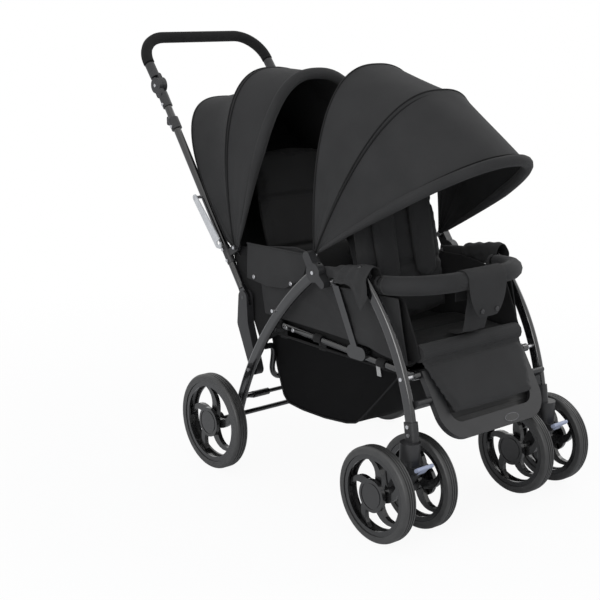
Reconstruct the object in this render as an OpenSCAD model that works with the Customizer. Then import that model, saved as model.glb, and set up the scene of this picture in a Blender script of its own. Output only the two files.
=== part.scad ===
// Tandem stroller with two seats in line, two canopies and twin front castors.
// X points forward, Y to the left and Z up; the origin is under the middle of the part, on the floor.

/* [Wheels] */
// Radius of each rear wheel over the tyre
rear_wheel_r = 116; // [100:0.5:130]
// Width of each rear tyre
rear_wheel_w = 32; // [24:0.5:40]
// Distance from the middle to the middle plane of a rear wheel
rear_track_half = 282.5; // [265:0.5:310]
// Radius of each front wheel over the tyre
front_wheel_r = 104.5; // [90:0.5:112]
// Width of each front tyre
front_wheel_w = 30; // [22:0.5:36]
// Distance from the middle to a castor's axis
caster_y = 217.3; // [212:0.1:222]
// Half of the distance between the two wheels of a castor
caster_half = 61.3; // [52:0.1:70]
// Forward distance from the rear axle to a castor's axis
caster_x = 604; // [590:0.5:620]
// Backward distance from a castor's axis to its wheels
caster_trail = 32.6; // [20:0.2:45]
// Spokes in one wheel
spoke_count = 5; // [4:1:7]
// Radius of the wheel axles
axle_r = 6; // [4:0.1:8]

/* [Frame] */
// Width of a flat leg tube, seen from the side
leg_wide = 27; // [20:0.5:32]
// Thickness of a flat leg tube
leg_thick = 14; // [10:0.2:15]
// Distance from the middle to a rear leg
rear_leg_y = 210; // [209:0.2:212]
// Radius of a rear leg's bow
rear_leg_r = 778.7; // [760:0.1:800]
// Forward place of the hinge hub, ahead of the rear axle
hub_x = 294.4; // [285:0.1:305]
// Height of the hinge hub
hub_z = 522; // [512:0.1:532]
// Distance from the middle to a front leg
front_leg_y = 207; // [206:0.2:208]
// Radius of a front leg's bow
front_leg_r = 527.4; // [515:0.1:540]
// Forward place of the hinge between an armrest and its front leg
arm_x = 441.9; // [432:0.1:452]
// Height of the hinge between an armrest and its front leg
arm_z = 534.7; // [525:0.1:545]
// Radius of the seat rails
rail_r = 8; // [6:0.1:9]
// Distance from the middle to a seat rail
rail_y = 172; // [168:0.2:172.5]
// Backward end of a seat rail, ahead of the rear axle
rail_back_x = 104; // [95:0.5:125]
// Height of a seat rail at its backward end
rail_back_z = 364; // [360:0.2:370]

/* [Push frame] */
// Radius of the push tubes and of the handle bar
push_r = 9.5; // [8:0.1:9.8]
// Distance from the middle to a push tube
push_y = 191; // [190.5:0.1:191.5]
// Lean of the push tubes from upright, backward
push_lean = 36.1; // [32:0.1:42]
// Length of a push tube from its lower pivot to the handle joint
push_len = 600; // [560:1:640]
// Lean of the handle's plane from upright, backward
handle_lean = 39.3; // [30:0.1:50]
// Length of the handle from its joint to the grip
handle_len = 148.5; // [130:0.5:175]
// Radius of the handle's corners
handle_bend = 78; // [60:1:85]
// Radius of the handle's foam grip
foam_r = 14.5; // [12:0.1:17]
// Lower pivot of a fold shoe, as a share of the rear leg from the hub to the axle
shoe_share = 0.731; // [0.7:0.001:0.76]
// Forward place of the pivot between a fold shoe and its push tube
knuckle_x = 10.6; // [4:0.1:18]
// Height of the pivot between a fold shoe and its push tube
knuckle_z = 412; // [400:0.5:425]

/* [Fold] */
// Backward turn of a fold shoe when the frame is folded
fold_shoe_turn = 66; // [60:0.5:68]
// Forward turn of the push frame when the frame is folded
fold_push_turn = 73; // [70:0.5:75]

/* [Canopies] */
// Half of a canopy's width
canopy_half = 199; // [180:0.5:200]
// Height of the front canopy's first bow over its clip
front_bow_h = 410; // [380:1:430]
// Reach of the front canopy's visor from its clip
visor_reach = 488; // [450:1:520]
// Height of the rear canopy's bows over their pivot
rear_bow_h = 424; // [395:1:440]
// Thickness of a canopy's padded cloth
canopy_thick = 3; // [2:0.1:5]
// Squareness of a canopy's arch
canopy_power = 2.5; // [2:0.1:3.5]
// Cloth steps along a canopy's arch
arch_steps = 28; // [20:2:36]
// Cloth steps between two bows
gore_steps = 6; // [4:1:10]
// Depth by which the cloth sags between two bows
gore_sag = 7; // [0:0.5:15]

/* [Seats and basket] */
// Half of the width of both seats between the rails
seat_half = 162; // [150:0.5:163]
// Half of the width of both backrests
back_half = 142; // [130:0.5:155]
// Length of a backrest
back_len = 392; // [340:1:420]
// Thickness of a backrest at its edge
back_edge = 12; // [8:0.5:20]
// Crown of a backrest's padding
back_crown = 12; // [6:0.5:20]
// Thickness of the basket's mesh cloth
basket_wall = 3; // [2:0.1:5]
// Half of the width of the basket
basket_half = 162.5; // [150:0.5:163]
// Radius of the bumper bar's padding
bumper_r = 20; // [15:0.5:22]
// Forward reach of the bumper bar from the rear axle
bumper_x = 592; // [580:1:620]
// Half of the width of the foot rest
foot_half = 160; // [145:1:170]

/* [Hidden] */
$fn = 48;
over = 1;
fit = 0.05;
loose = 0.4;
rivet_r = 4.2;
rivet_high = 2.2;
pin_r = 5;
facing = 90;
full = 360;
half_shares = 0.5;
rear_axle = [0, rear_wheel_r];
caster_axle = [caster_x - caster_trail, front_wheel_r];
inner_y = caster_y - caster_half;
outer_y = caster_y + caster_half;
leg_in = rear_leg_y - leg_thick / 2;
leg_out = rear_leg_y + leg_thick / 2;
front_in = front_leg_y - leg_thick / 2;
front_out = front_leg_y + leg_thick / 2;

// Middle of the bow of a given radius that passes through two points
function bow_mid(p, q, r) =
    let (v = q - p, rise = sqrt(r * r - v * v / 4))
    (p + q) / 2 + rise * [v[1], -v[0]] / norm(v);
function bow_angle(c, p) = atan2(p[1] - c[1], p[0] - c[0]);
function rear_at(share) = rear_from + rear_turn * share;
function front_at(share) = front_from + front_turn * share;
function on_rear(share) = rear_c + rear_leg_r * [cos(rear_at(share)), sin(rear_at(share))];
function on_front(share) = front_c + front_leg_r * [cos(front_at(share)), sin(front_at(share))];
function heading(lean) = [-sin(lean), cos(lean)];
function turned(p, c, a) =
    let (d = p - c)
    [c[0] + d[0] * cos(a) + d[1] * sin(a), c[1] - d[0] * sin(a) + d[1] * cos(a)];

// Wheel details
bead_share = 0.845;
tyre_round = 7;
tread_deep = 1.4;
tread_wide = 2.6;
tread_share = 0.2;
rim_deep = 6;
rim_lip = 2;
rim_step = 5;
spoke_thick = 11;
spoke_root = 24;
spoke_tip = 13;
spoke_sweep = 38;
spoke_steps = 8;
boss_r = 19;
boss_out = 3;
cap_thick = 9;
cap_r = 36;
cap_groove = 1.2;
cap_outer_share = 0.82;
cap_inner_share = 0.74;
axle_end = rear_track_half + rear_wheel_w / 2 + boss_out - cap_thick / 2 - loose;

// Rear frame details
leg_top_share = -0.037;
leg_foot_share = 1.037;
hub_r = 22;
hub_cover = 5;
clip_r = 11;
clip_share = 0.6;
clip_pin = 6.5;
peg_boss = 9;
arm_y0 = 188;
arm_y1 = 199.6;
pin_out = 2;
brake_r = 5;
brake_seat = 7;
pedal_root = 8.5;
pedal_tip = 4.4;
pedal_y = 130;
pedal_wide = 46;
pedal_back = 44;
pedal_drop = 14;
cross_r = 7;
cross_y = 173;
cross_back = 18;
cross_drop = 40;
cross_slope = 28;
cross_in = 8.2;
cross_low = 92;
elbow_more = 1;
seam = 0.02;

// Fold shoe details
shoe_y0 = 182;
shoe_y1 = 201.6;
shoe_foot = 15;
shoe_belly = 21;
shoe_head = 16;
shoe_bulge = 16;
shoe_mid_share = 0.62;
clevis_share = 0.5;
clevis_room = 3;
tang_y0 = 186.5;
tang_y1 = 195.5;
tang_len = 24;
tang_r = 13;
tang_share = 0.9;

// Push frame details
sleeve_gap = 23;
sleeve_from = 24;
sleeve_to = 64;
sleeve_r = 12.5;
joint_r = 20;
joint_gap = 0.6;
joint_half = 11.5;
rivet_in = 8;
collar_below = 129;
collar_len = 30;
collar_r = 13.5;
collar_tab = 24;
tab_half = 5;
ear_from = 92;
ear_len = 46;
ear_half = 4.5;
ear_band_r = 10.8;
ear_r = 11;
hook_pin = 4;
hook_narrow = 8;
hook_wide = 12.5;
hook_nose = 9;
button_r = 9;
button_out = 5;
button_in = 4.6;
button_travel = 3;
foam_from = 68;

// Front frame details
front_top_share = 1.056;
socket_back = 4.5;
arm_r = 15;
socket_r = 22;
socket_low = 176.4;
socket_high = 214;
sleeve_wall = 3.4;
socket_top_share = 0.104;
socket_more_share = 0.0405;
socket_rivet_shares = [0.03, 0.081];
stem_r = 8;
stem_top = 205;
caster_top = 176;
caster_disc = 10;
caster_wide = 15;
caster_knee = 21;
fork_r = 17;
axle_reach = 12;
lever_ahead = 29;
lever_high = 158;
lever_p = [caster_x + lever_ahead, lever_high];
lever_pin = 3;
lever_half = 11;
lug_half = 15;
lever_r = 6.5;
lever_tip = [15, 12];
lever_tip_r = 4;
lever_wing = 22.5;
lever_root_share = 0.7;

// Foot rest, calf rest and bumper details
foot_len = 160;
foot_wide = 34;
foot_thick = 14;
foot_corner = 62;
foot_floor = 3;
foot_floor_from = 100;
slot_long = 20;
slot_wide = 7;
slot_rows = 2;
slot_gap = 34;
lug_share = 0.19;
lug_r = 9;
calf_len = 138;
calf_half = 157;
calf_edge = 9;
calf_crown = 3;
calf_taper_share = 0.2;
bumper_bend = 112;
bumper_half = 176;
bumper_tilt = 7.6;
bumper_core = 6;
flap_half = 60;
flap_thick = 3;
flap_drop = 84;
belt_half = 22;
belt_thick = 4;
belt_len = 161;
belt_apart = 50.6;

// Rail, strut and soft details
strut_y0 = rail_y + rail_r + loose;
strut_thick = 4;
strut_r = 9;
shoe_wedge = 15;
seat_edge = 26;
seat_crown = 8;
front_seat_x = 362;
rear_seat_x = 60;
rear_seat_len = 196;
side_y = 183;
side_thick = 2.6;
side_points = [[40, 436], [70, 364], [238, 352], [268, 470], [262, 560], [36, 540]];
basket_points = [
    [74, 334], [96, 250], [128, 178], [190, 165], [270, 166], [345, 174], [388, 190], [452, 258], [518, 330]
];
channel_deep = 6;
arch_first = 0.36;
arch_split = 0.2;
front_arch_back = 92.5;
front_arch_mid = 63;
visor_angle = 28;
rear_arch_back = 133;
rear_arch_mid = 103;
rear_arch_front = 83;
front_bow_drop = 8;
rear_bow_more = 31;
curtain_thick = 2.6;
curtain_gap = 1;
curtain_half = 184;
curtain_drop = 40;
curtain_foot = 150;
edge_pull_share = 0.06;
back_taper_share = 0.1;
strap_from_share = 0.42;
wing_y = 178.8;
wing_points = [
    [322, 384], [306, 440], [318, 488], [436, 492], [500, 440], [540, 372], [470, 368], [400, 370.9]
];

// Steps from one pivot of the side frame to a lesser one, seen from the side
clip_step = [-22.4, 34];
strut_step = [30, -22];
strut_back = 172;
strut_drop = 9;
ear_at = 146;
ear_step = [50.4, -2];
stud_step = [-9, 6];
hook_gap = 1.6;
hook_thick = 3;
bumper_step = [21, -17];
seat_lift = 16;
foot_step = [-5.2, 1.9];
calf_step = [-1, 29];
front_back_step = [6, 12.5];
rear_back_step = [1, 11.9];
front_seat_ahead = 7.5;

// Pivots of the side frame, seen from the side
hub_p = [hub_x, hub_z];
rear_c = bow_mid(rear_axle, hub_p, rear_leg_r);
rear_from = bow_angle(rear_c, hub_p);
rear_turn = bow_angle(rear_c, rear_axle) - rear_from;
clip_p = hub_p + clip_step;
arm_p = [arm_x, arm_z];
front_low = [caster_x - socket_back, socket_high + over];
front_c = bow_mid(arm_p, front_low, front_leg_r);
front_from = bow_angle(front_c, front_low);
front_turn = bow_angle(front_c, arm_p) - front_from;
rail_share = 0.3545;
rail_p = on_front(rail_share);
shoe_p = on_rear(shoe_share);
knuckle_p = [knuckle_x, knuckle_z];
push_dir = heading(push_lean);
handle_p = knuckle_p + push_len * push_dir;
handle_dir = heading(handle_lean);
rail_back_p = [rail_back_x, rail_back_z];
peg_share = 0.487;
peg_p = on_rear(peg_share);
strut_p = hub_p + strut_step;
strut_foot_p = [rail_p[0] - strut_back, rail_back_z - strut_drop];
brake_share = 0.9;
brake_p = on_rear(brake_share);
ear_p = knuckle_p + ear_at * push_dir + ear_step;
collar_at = push_len - collar_below;
hook_at = 277;
hook_p = knuckle_p + hook_at * push_dir;
hook_rest = 133;
stud_share = 0.352;
stud_p = on_rear(stud_share) + stud_step;
knuckle_folded = turned(knuckle_p, shoe_p, -fold_shoe_turn);
hook_folded = turned(hook_p, knuckle_p, fold_push_turn) + knuckle_folded - knuckle_p;
hook_reach = norm(stud_p - hook_folded);
hook_y0 = leg_out + hook_gap;
hook_y1 = hook_y0 + hook_thick;
bumper_p = arm_p + bumper_step;
seat_top = rail_back_z + seat_lift;
front_seat_len = rail_p[0] - front_seat_ahead - front_seat_x;
foot_p = rail_p + foot_step;
foot_lean = 57.9;
calf_p = rail_p + calf_step;
calf_lean = 145.5;
front_back_p = [front_seat_x, seat_top] + front_back_step;
front_back_lean = 13;
rear_back_p = [rear_seat_x, seat_top] + rear_back_step;
rear_back_lean = 21;
reach_front = clip_p[0] + visor_reach * cos(visor_angle);
reach_back = handle_p[0] + handle_len * handle_dir[0] - foam_r;
frame_mid = (reach_front + reach_back) / 2;

// Which sub-part is drawn

black_paint = [0.07, 0.07, 0.08];
dark_plastic = [0.22, 0.22, 0.23];
cloth_grey = [0.2, 0.2, 0.21];
mesh_black = [0.08, 0.08, 0.09];
tyre_grey = [0.16, 0.16, 0.16];
foam_black = [0.11, 0.11, 0.11];
bright_steel = [0.8, 0.8, 0.82];
pale_grey = [0.74, 0.75, 0.77];
lever_blue = [0.6, 0.64, 0.72];

// Places a sub-part in the shared frame
module framed() {
    translate([-frame_mid, 0, 0]) children();
}

module right() {
    mirror([0, 1, 0]) children();
}

module both() {
    children();
    right() children();
}

// Extrudes a side profile from one distance off the middle to another
module slab(y0, y1) {
    translate([0, y1, 0]) rotate([facing, 0, 0]) linear_extrude(height = y1 - y0) children();
}

module spot(p) {
    translate([p[0], p[1]]) children();
}

module pin(p, r, y0, y1) {
    slab(y0, y1) spot(p) circle(r = r);
}

module rod(a, b, r) {
    v = b - a;
    translate(a) rotate([0, acos(v[2] / norm(v)), atan2(v[1], v[0])]) cylinder(h = norm(v), r = r);
}

// A stadium outline, such as the section of a flat tube
module stadium(w, t) {
    square([w - t, t], center = true);
    for (s = [-1, 1]) translate([s * (w - t) / 2, 0]) circle(d = t);
}

// A flat tube bent to a bow in the side plane
module bow_tube(c, r, y, a0, a1, w, t) {
    translate([c[0], y, c[1]])
        rotate([facing, 0, 0])
            rotate([0, 0, a0])
                rotate_extrude(angle = a1 - a0, $fn = 180) translate([r, 0]) stadium(w, t);
}

// A bar with round ends, seen from the side
module link2d(p, q, r0, r1) {
    v = q - p;
    d = norm(v);
    spot(p) circle(r = r0);
    spot(q) circle(r = r1);
    a = r0 - fit;
    b = r1 - fit;
    spot(p) rotate(atan2(v[1], v[0])) polygon([[0, -a], [d, -b], [d, b], [0, a]]);
}

// Padded cloth slab: crowned on top, drawn in at its edges, with sewn channels across
module pad(w, l, edge, crown, channels, depth, taper_share) {
    nu = 14;
    nv = 18;
    function bulge(u, v) = edge / 2 + crown * (1 - pow(abs(2 * u - 1), 4)) * (1 - pow(abs(2 * v - 1), 6))
        - (channels == 0 ? 0 : depth * pow(abs(cos(180 * channels * v)), 8) * (1 - pow(abs(2 * u - 1), 4)));
    function half_w(v) = w * (1 - taper_share * v) * (1 - edge_pull_share * pow(abs(2 * v - 1), 10));
    function at(i, j, top) =
        let (u = i / nu, v = j / nv)
        [l * v, half_w(v) * (2 * u - 1), top ? bulge(u, v) : -edge / 2];
    pts = concat(
        [for (i = [0:nu]) for (j = [0:nv]) at(i, j, true)],
        [for (i = [0:nu]) for (j = [0:nv]) at(i, j, false)]
    );
    m = nv + 1;
    b = (nu + 1) * m;
    faces = concat(
        [for (i = [0:nu - 1]) for (j = [0:nv - 1]) each [
            [i * m + j, (i + 1) * m + j, (i + 1) * m + j + 1],
            [i * m + j, (i + 1) * m + j + 1, i * m + j + 1],
            [b + i * m + j, b + (i + 1) * m + j + 1, b + (i + 1) * m + j],
            [b + i * m + j, b + i * m + j + 1, b + (i + 1) * m + j + 1]
        ]],
        [for (j = [0:nv - 1]) each [
            [j, j + 1, b + j + 1],
            [j, b + j + 1, b + j],
            [nu * m + j, b + nu * m + j + 1, nu * m + j + 1],
            [nu * m + j, b + nu * m + j, b + nu * m + j + 1]
        ]],
        [for (i = [0:nu - 1]) each [
            [i * m, b + (i + 1) * m, (i + 1) * m],
            [i * m, b + i * m, b + (i + 1) * m],
            [i * m + nv, (i + 1) * m + nv, b + (i + 1) * m + nv],
            [i * m + nv, b + (i + 1) * m + nv, b + i * m + nv]
        ]]
    );
    polyhedron(points = pts, faces = faces);
}

// The squarish arch of a canopy: the turn at a cloth step, and the bent sine or cosine of a turn
function arch_turn(j) = arch_first + (full / 2 - 2 * arch_first) * j / arch_steps;
function bent(x) = sign(x) * pow(abs(x), 2 / canopy_power);

// One gore of a canopy between two bows, as a cloth of even thickness
module gore(p, a0, a1, h0, h1, half) {
    n = arch_steps;
    m = gore_steps;
    function tall(k, t) = (h0 + (h1 - h0) * k / m) - 4 * gore_sag * (k / m) * (1 - k / m) - t;
    function at(k, j, t) =
        let (a = a0 + (a1 - a0) * k / m, f = arch_turn(j), r = tall(k, t) * bent(sin(f)))
        [p[0] + r * cos(a), (half - t) * bent(cos(f)), p[1] + r * sin(a)];
    row = n + 1;
    b = (m + 1) * row;
    pts = concat(
        [for (k = [0:m]) for (j = [0:n]) at(k, j, 0)],
        [for (k = [0:m]) for (j = [0:n]) at(k, j, canopy_thick)]
    );
    faces = concat(
        [for (k = [0:m - 1]) for (j = [0:n - 1]) each [
            [k * row + j, (k + 1) * row + j, (k + 1) * row + j + 1],
            [k * row + j, (k + 1) * row + j + 1, k * row + j + 1],
            [b + k * row + j, b + (k + 1) * row + j + 1, b + (k + 1) * row + j],
            [b + k * row + j, b + k * row + j + 1, b + (k + 1) * row + j + 1]
        ]],
        [for (k = [0:m - 1]) each [
            [k * row, b + (k + 1) * row, (k + 1) * row],
            [k * row, b + k * row, b + (k + 1) * row],
            [k * row + n, (k + 1) * row + n, b + (k + 1) * row + n],
            [k * row + n, b + (k + 1) * row + n, b + k * row + n]
        ]],
        [for (j = [0:n - 1]) each [
            [j, j + 1, b + j + 1],
            [j, b + j + 1, b + j],
            [m * row + j, b + m * row + j + 1, m * row + j + 1],
            [m * row + j, b + m * row + j, b + m * row + j + 1]
        ]]
    );
    polyhedron(points = pts, faces = faces);
}

// Wheels, drawn about their own axle with the outer face towards +Y
module tyre_shape(r, w) {
    bead = r * bead_share;
    rotate([facing, 0, 0]) rotate_extrude($fn = 96) difference() {
        union() {
            translate([bead, -w / 2 + tyre_round]) square([r - bead, w - 2 * tyre_round]);
            translate([bead, -w / 2]) square([r - bead - tyre_round, w]);
            for (s = [-1, 1]) translate([r - tyre_round, s * (w / 2 - tyre_round)]) circle(r = tyre_round);
        }
        for (s = [-1, 0, 1])
            translate([r - tread_deep, s * w * tread_share - tread_wide / 2])
                square([tread_deep + over, tread_wide]);
    }
}

function spoke_side(r0, r1, w0, w1, sweep, side, n) = [
    for (i = [0:n])
        let (t = i / n, r = r0 + (r1 - r0) * t, w = w0 + (w1 - w0) * t)
        let (a = sweep * t * t + side * w / 2 / r * 180 / PI)
        [r * cos(a), r * sin(a)]
];

function backwards(v) = [for (i = [len(v) - 1:-1:0]) v[i]];

module spoke2d(r0, r1) {
    polygon(concat(
        spoke_side(r0, r1, spoke_root, spoke_tip, spoke_sweep, 1, spoke_steps),
        backwards(spoke_side(r0, r1, spoke_root, spoke_tip, spoke_sweep, -1, spoke_steps))
    ));
}

module rim_shape(r, w) {
    bead = r * bead_share;
    difference() {
        union() {
            rotate([facing, 0, 0]) rotate_extrude($fn = 96) {
                translate([bead - rim_deep, -w / 2 + rim_lip]) square([rim_deep - fit, w - 2 * rim_lip]);
                for (s = [-1, 1])
                    translate([bead - rim_deep - rim_step,
                        s * (w / 2 - rim_lip - rim_step / 2) - rim_step / 2])
                        square([rim_step + rim_deep / 2, rim_step]);
            }
            rotate([facing, 0, 0]) translate([0, 0, -spoke_thick / 2]) linear_extrude(height = spoke_thick)
                for (i = [0:spoke_count - 1]) rotate(i * full / spoke_count)
                    spoke2d(boss_r - over, bead - rim_deep + over);
            rotate([facing, 0, 0]) cylinder(h = w + 2 * boss_out, r = boss_r, center = true);
            translate([0, w / 2 + boss_out, 0]) rotate([facing, 0, 0]) cylinder(h = cap_thick, r = cap_r);
        }
        translate([0, w / 2 + boss_out - cap_thick / 2, 0]) rotate([facing, 0, 0])
            cylinder(h = w + 3 * boss_out, r = axle_r + fit);
        translate([0, w / 2 + boss_out + over, 0]) rotate([facing, 0, 0]) difference() {
            cylinder(h = cap_groove + over, r = cap_r * cap_outer_share);
            translate([0, 0, -over]) cylinder(h = cap_groove + 3 * over, r = cap_r * cap_inner_share);
        }
    }
}

module at_rear_wheel() {
    translate([rear_axle[0], rear_track_half, rear_axle[1]]) children();
}

module at_front_wheel(outer) {
    translate([caster_axle[0], outer ? outer_y : inner_y, caster_axle[1]])
        mirror([0, outer ? 0 : 1, 0]) children();
}

// Rear frame
module rear_bow() {
    bow_tube(rear_c, rear_leg_r, rear_leg_y, rear_at(leg_top_share), rear_at(leg_foot_share), leg_wide,
        leg_thick);
}

module rear_leg_left() {
    color(black_paint) framed() difference() {
        rear_bow();
        pin(rear_axle, axle_r + fit, leg_in - over, leg_out + over);
        pin(brake_p, brake_r + fit, leg_in - over, leg_in + brake_seat);
    }
}

module rear_leg_right() {
    right() rear_leg_left();
}

module hub_left() {
    difference() {
        slab(leg_in - loose, leg_out + hub_cover) {
            spot(hub_p) circle(r = hub_r);
            link2d(hub_p, clip_p, hub_r * clip_share, clip_r);
            link2d(hub_p, strut_p, hub_r * clip_share, peg_boss);
        }
        rear_bow();
    }
}

module hubs() {
    color(dark_plastic) framed() both() hub_left();
}

module rear_axle() {
    color(bright_steel) framed()
        pin(rear_axle, axle_r, -axle_end, axle_end);
}

module rear_cross_tube() {
    a = [peg_p[0] - cross_back, leg_in, peg_p[1] - cross_drop];
    b = [a[0], cross_y, a[2]];
    c = [a[0] - cross_slope, cross_y - cross_in, a[2] - cross_low];
    color(black_paint) framed() {
        both() {
            rod(a, b, cross_r);
            translate(b) sphere(r = cross_r + elbow_more);
            rod(b, c, cross_r);
            translate(c) sphere(r = cross_r + elbow_more);
        }
        rod(c, [c[0], -c[1], c[2]], cross_r);
    }
}

module rear_studs() {
    color(bright_steel) framed() both() {
        pin(hub_p, pin_r, arm_y0 - pin_out, leg_in - loose);
        pin(hub_p, rivet_r, leg_out + hub_cover, leg_out + hub_cover + rivet_high);
        pin(clip_p, clip_pin, canopy_half - canopy_thick - over, leg_in - loose);
        pin(strut_p, pin_r, rail_y + rail_r - over, leg_in - loose);
        pin(peg_p, pin_r, rail_y - rail_r, leg_in);
        pin(shoe_p, pin_r, shoe_y0 - pin_out, leg_in);
        pin(shoe_p, rivet_r, leg_out, leg_out + rivet_high);
        pin(stud_p, rivet_r, leg_out, hook_y1 + rivet_high);
    }
}

module brake_bar() {
    color(black_paint) framed() {
        pin(brake_p, brake_r, -leg_in - brake_seat + loose, leg_in + brake_seat - loose);
        both() slab(pedal_y, pedal_y + pedal_wide)
            link2d(brake_p, brake_p + [-pedal_back, -pedal_drop], pedal_root, pedal_tip);
    }
}

module rear_tyre_left() {
    color(tyre_grey) framed() at_rear_wheel() tyre_shape(rear_wheel_r, rear_wheel_w);
}

module rear_rim_left() {
    color(dark_plastic) framed() at_rear_wheel() rim_shape(rear_wheel_r, rear_wheel_w);
}

module rear_tyre_right() {
    right() rear_tyre_left();
}

module rear_rim_right() {
    right() rear_rim_left();
}

// Fold shoes: clevis above, pivot on the rear leg below
module fold_shoes() {
    mid = shoe_p + (knuckle_p - shoe_p) * shoe_mid_share + [-shoe_bulge, 0];
    color(dark_plastic) framed() both() difference() {
        slab(shoe_y0, shoe_y1) {
            link2d(shoe_p, mid, shoe_foot, shoe_belly);
            link2d(mid, knuckle_p, shoe_belly, shoe_head);
        }
        slab(tang_y0 - loose, tang_y1 + loose) link2d(knuckle_p, knuckle_p + (mid - knuckle_p) * clevis_share,
            shoe_head + clevis_room, shoe_head);
        pin(knuckle_p, pin_r + fit, shoe_y0 - over, shoe_y1 + over);
        pin(shoe_p, pin_r + fit, shoe_y0 - over, shoe_y1 + over);
    }
}

// Push frame
module push_tube_left() {
    foot = knuckle_p + tang_len * push_dir;
    head = handle_p - sleeve_gap * push_dir;
    color(black_paint) framed() {
        rod([foot[0], push_y, foot[1]], [head[0], push_y, head[1]], push_r);
        slab(tang_y0, tang_y1) link2d(knuckle_p, foot + push_r * push_dir, tang_r, push_r * tang_share);
        pin(knuckle_p, pin_r, shoe_y0 - pin_out, shoe_y1 + loose);
    }
}

module push_tube_right() {
    right() push_tube_left();
}

module sleeve(p, dir, from, to, r) {
    a = p + from * dir;
    b = p + to * dir;
    rod([a[0], push_y, a[1]], [b[0], push_y, b[1]], r);
}

module push_bore(extra) {
    sleeve(knuckle_p, push_dir, 0, push_len - sleeve_gap, push_r + extra);
}

module collars() {
    hook_end = knuckle_p + (collar_at + collar_len * half_shares) * push_dir;
    color(dark_plastic) framed() both() difference() {
        union() {
            sleeve(knuckle_p, push_dir, collar_at, collar_at + collar_len, collar_r);
            slab(push_y - tab_half, push_y + tab_half) {
                link2d(hook_end, hook_end + [-collar_tab, 0], collar_r * half_shares, tab_half);
                link2d(hook_end + [-collar_tab, 0], hook_end + [-collar_tab, collar_tab * half_shares],
                    tab_half, tab_half);
            }
        }
        push_bore(0);
    }
}

module canopy_ears() {
    color(dark_plastic) framed() both() difference() {
        union() {
            sleeve(knuckle_p, push_dir, ear_from, ear_from + ear_len, ear_band_r);
            slab(push_y - ear_half, push_y + ear_half)
                link2d(knuckle_p + (ear_from + ear_len * half_shares) * push_dir, ear_p,
                    collar_r * half_shares, ear_r);
            pin(ear_p, clip_pin, push_y - ear_half, canopy_half - loose);
        }
        push_bore(0);
    }
}

module lower_sleeves() {
    color(dark_plastic) framed() both() difference() {
        union() {
            pin(handle_p, joint_r, push_y + joint_gap, push_y + joint_half);
            slab(push_y + joint_gap, push_y + joint_half)
                link2d(handle_p, handle_p - sleeve_from * push_dir, joint_r * clip_share,
                    joint_r * clip_share);
            sleeve(handle_p, -push_dir, sleeve_from, sleeve_to, sleeve_r);
        }
        push_bore(0);
    }
}

module push_rivets() {
    color(bright_steel) framed() both() {
        pin(handle_p, rivet_r, push_y + joint_half, push_y + joint_half + rivet_high);
        pin(handle_p - (sleeve_to - rivet_in) * push_dir, rivet_r, push_y + sleeve_r,
            push_y + sleeve_r + rivet_high);
        pin(knuckle_p + (collar_at + rivet_in) * push_dir, rivet_r, push_y + collar_r,
            push_y + collar_r + rivet_high);
        pin(knuckle_p + (ear_from + rivet_in) * push_dir, rivet_r, push_y + ear_band_r,
            push_y + ear_band_r + rivet_high);
        pin(knuckle_p + (ear_from + ear_len - rivet_in) * push_dir, rivet_r, push_y + ear_band_r,
            push_y + ear_band_r + rivet_high);
        pin(ear_p, rivet_r, canopy_half + loose, canopy_half + loose + rivet_high);
    }
    color(bright_steel) framed() right() pin(hook_p, hook_pin, push_y + push_r, hook_y1 + rivet_high);
}

// Fold-lock hook on the right push tube, notched where it drops on the rear leg's stud
module fold_hook() {
    tip = hook_p + hook_reach * [cos(hook_rest - 180), sin(hook_rest - 180)];
    along = (tip - hook_p) / hook_reach;
    across = [-along[1], along[0]];
    color(pale_grey) framed() right() slab(hook_y0, hook_y1) difference() {
        union() {
            link2d(hook_p, tip, hook_narrow, hook_wide);
            link2d(tip, tip + hook_nose * along, hook_wide, hook_wide * half_shares);
        }
        spot(hook_p) circle(r = hook_pin + fit);
        link2d(tip, tip + hook_wide * 2 * across, rivet_r + loose, rivet_r + loose);
    }
}

// Handle
module handle_path(r, from) {
    turn = handle_len - handle_bend;
    a = handle_p + from * handle_dir;
    b = handle_p + (turn + over) * handle_dir;
    c = handle_p + handle_len * handle_dir;
    d = handle_p + turn * handle_dir;
    y = push_y - handle_bend;
    both() {
        rod([a[0], push_y, a[1]], [b[0], push_y, b[1]], r - seam);
        translate([d[0], y, d[1]])
            rotate([0, facing - handle_lean, 0])
                rotate([0, 0, facing])
                    rotate_extrude(angle = facing, $fn = 72) translate([handle_bend, 0]) circle(r = r);
    }
    rod([c[0], -y - over, c[1]], [c[0], y + over, c[1]], r - seam);
}

module handle_bar() {
    color(black_paint) framed() handle_path(push_r, sleeve_gap);
}

module handle_foam() {
    color(foam_black) framed() difference() {
        handle_path(foam_r, foam_from);
        handle_path(push_r + seam, sleeve_gap);
    }
}

module upper_sleeves() {
    color(dark_plastic) framed() both() difference() {
        union() {
            pin(handle_p, joint_r, push_y - joint_half, push_y);
            slab(push_y - joint_half, push_y)
                link2d(handle_p, handle_p + sleeve_from * handle_dir, joint_r * clip_share,
                    joint_r * clip_share);
            sleeve(handle_p, handle_dir, sleeve_from, sleeve_to, sleeve_r);
        }
        sleeve(handle_p, handle_dir, sleeve_gap, sleeve_to + over, push_r);
        pin(handle_p, button_r + fit, push_y - joint_half - over,
            push_y - joint_half + button_in + button_travel + loose);
    }
}

module handle_button_left() {
    color(dark_plastic) framed()
        pin(handle_p, button_r, push_y - joint_half - button_out, push_y - joint_half + button_in);
}

module handle_button_right() {
    right() handle_button_left();
}

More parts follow.
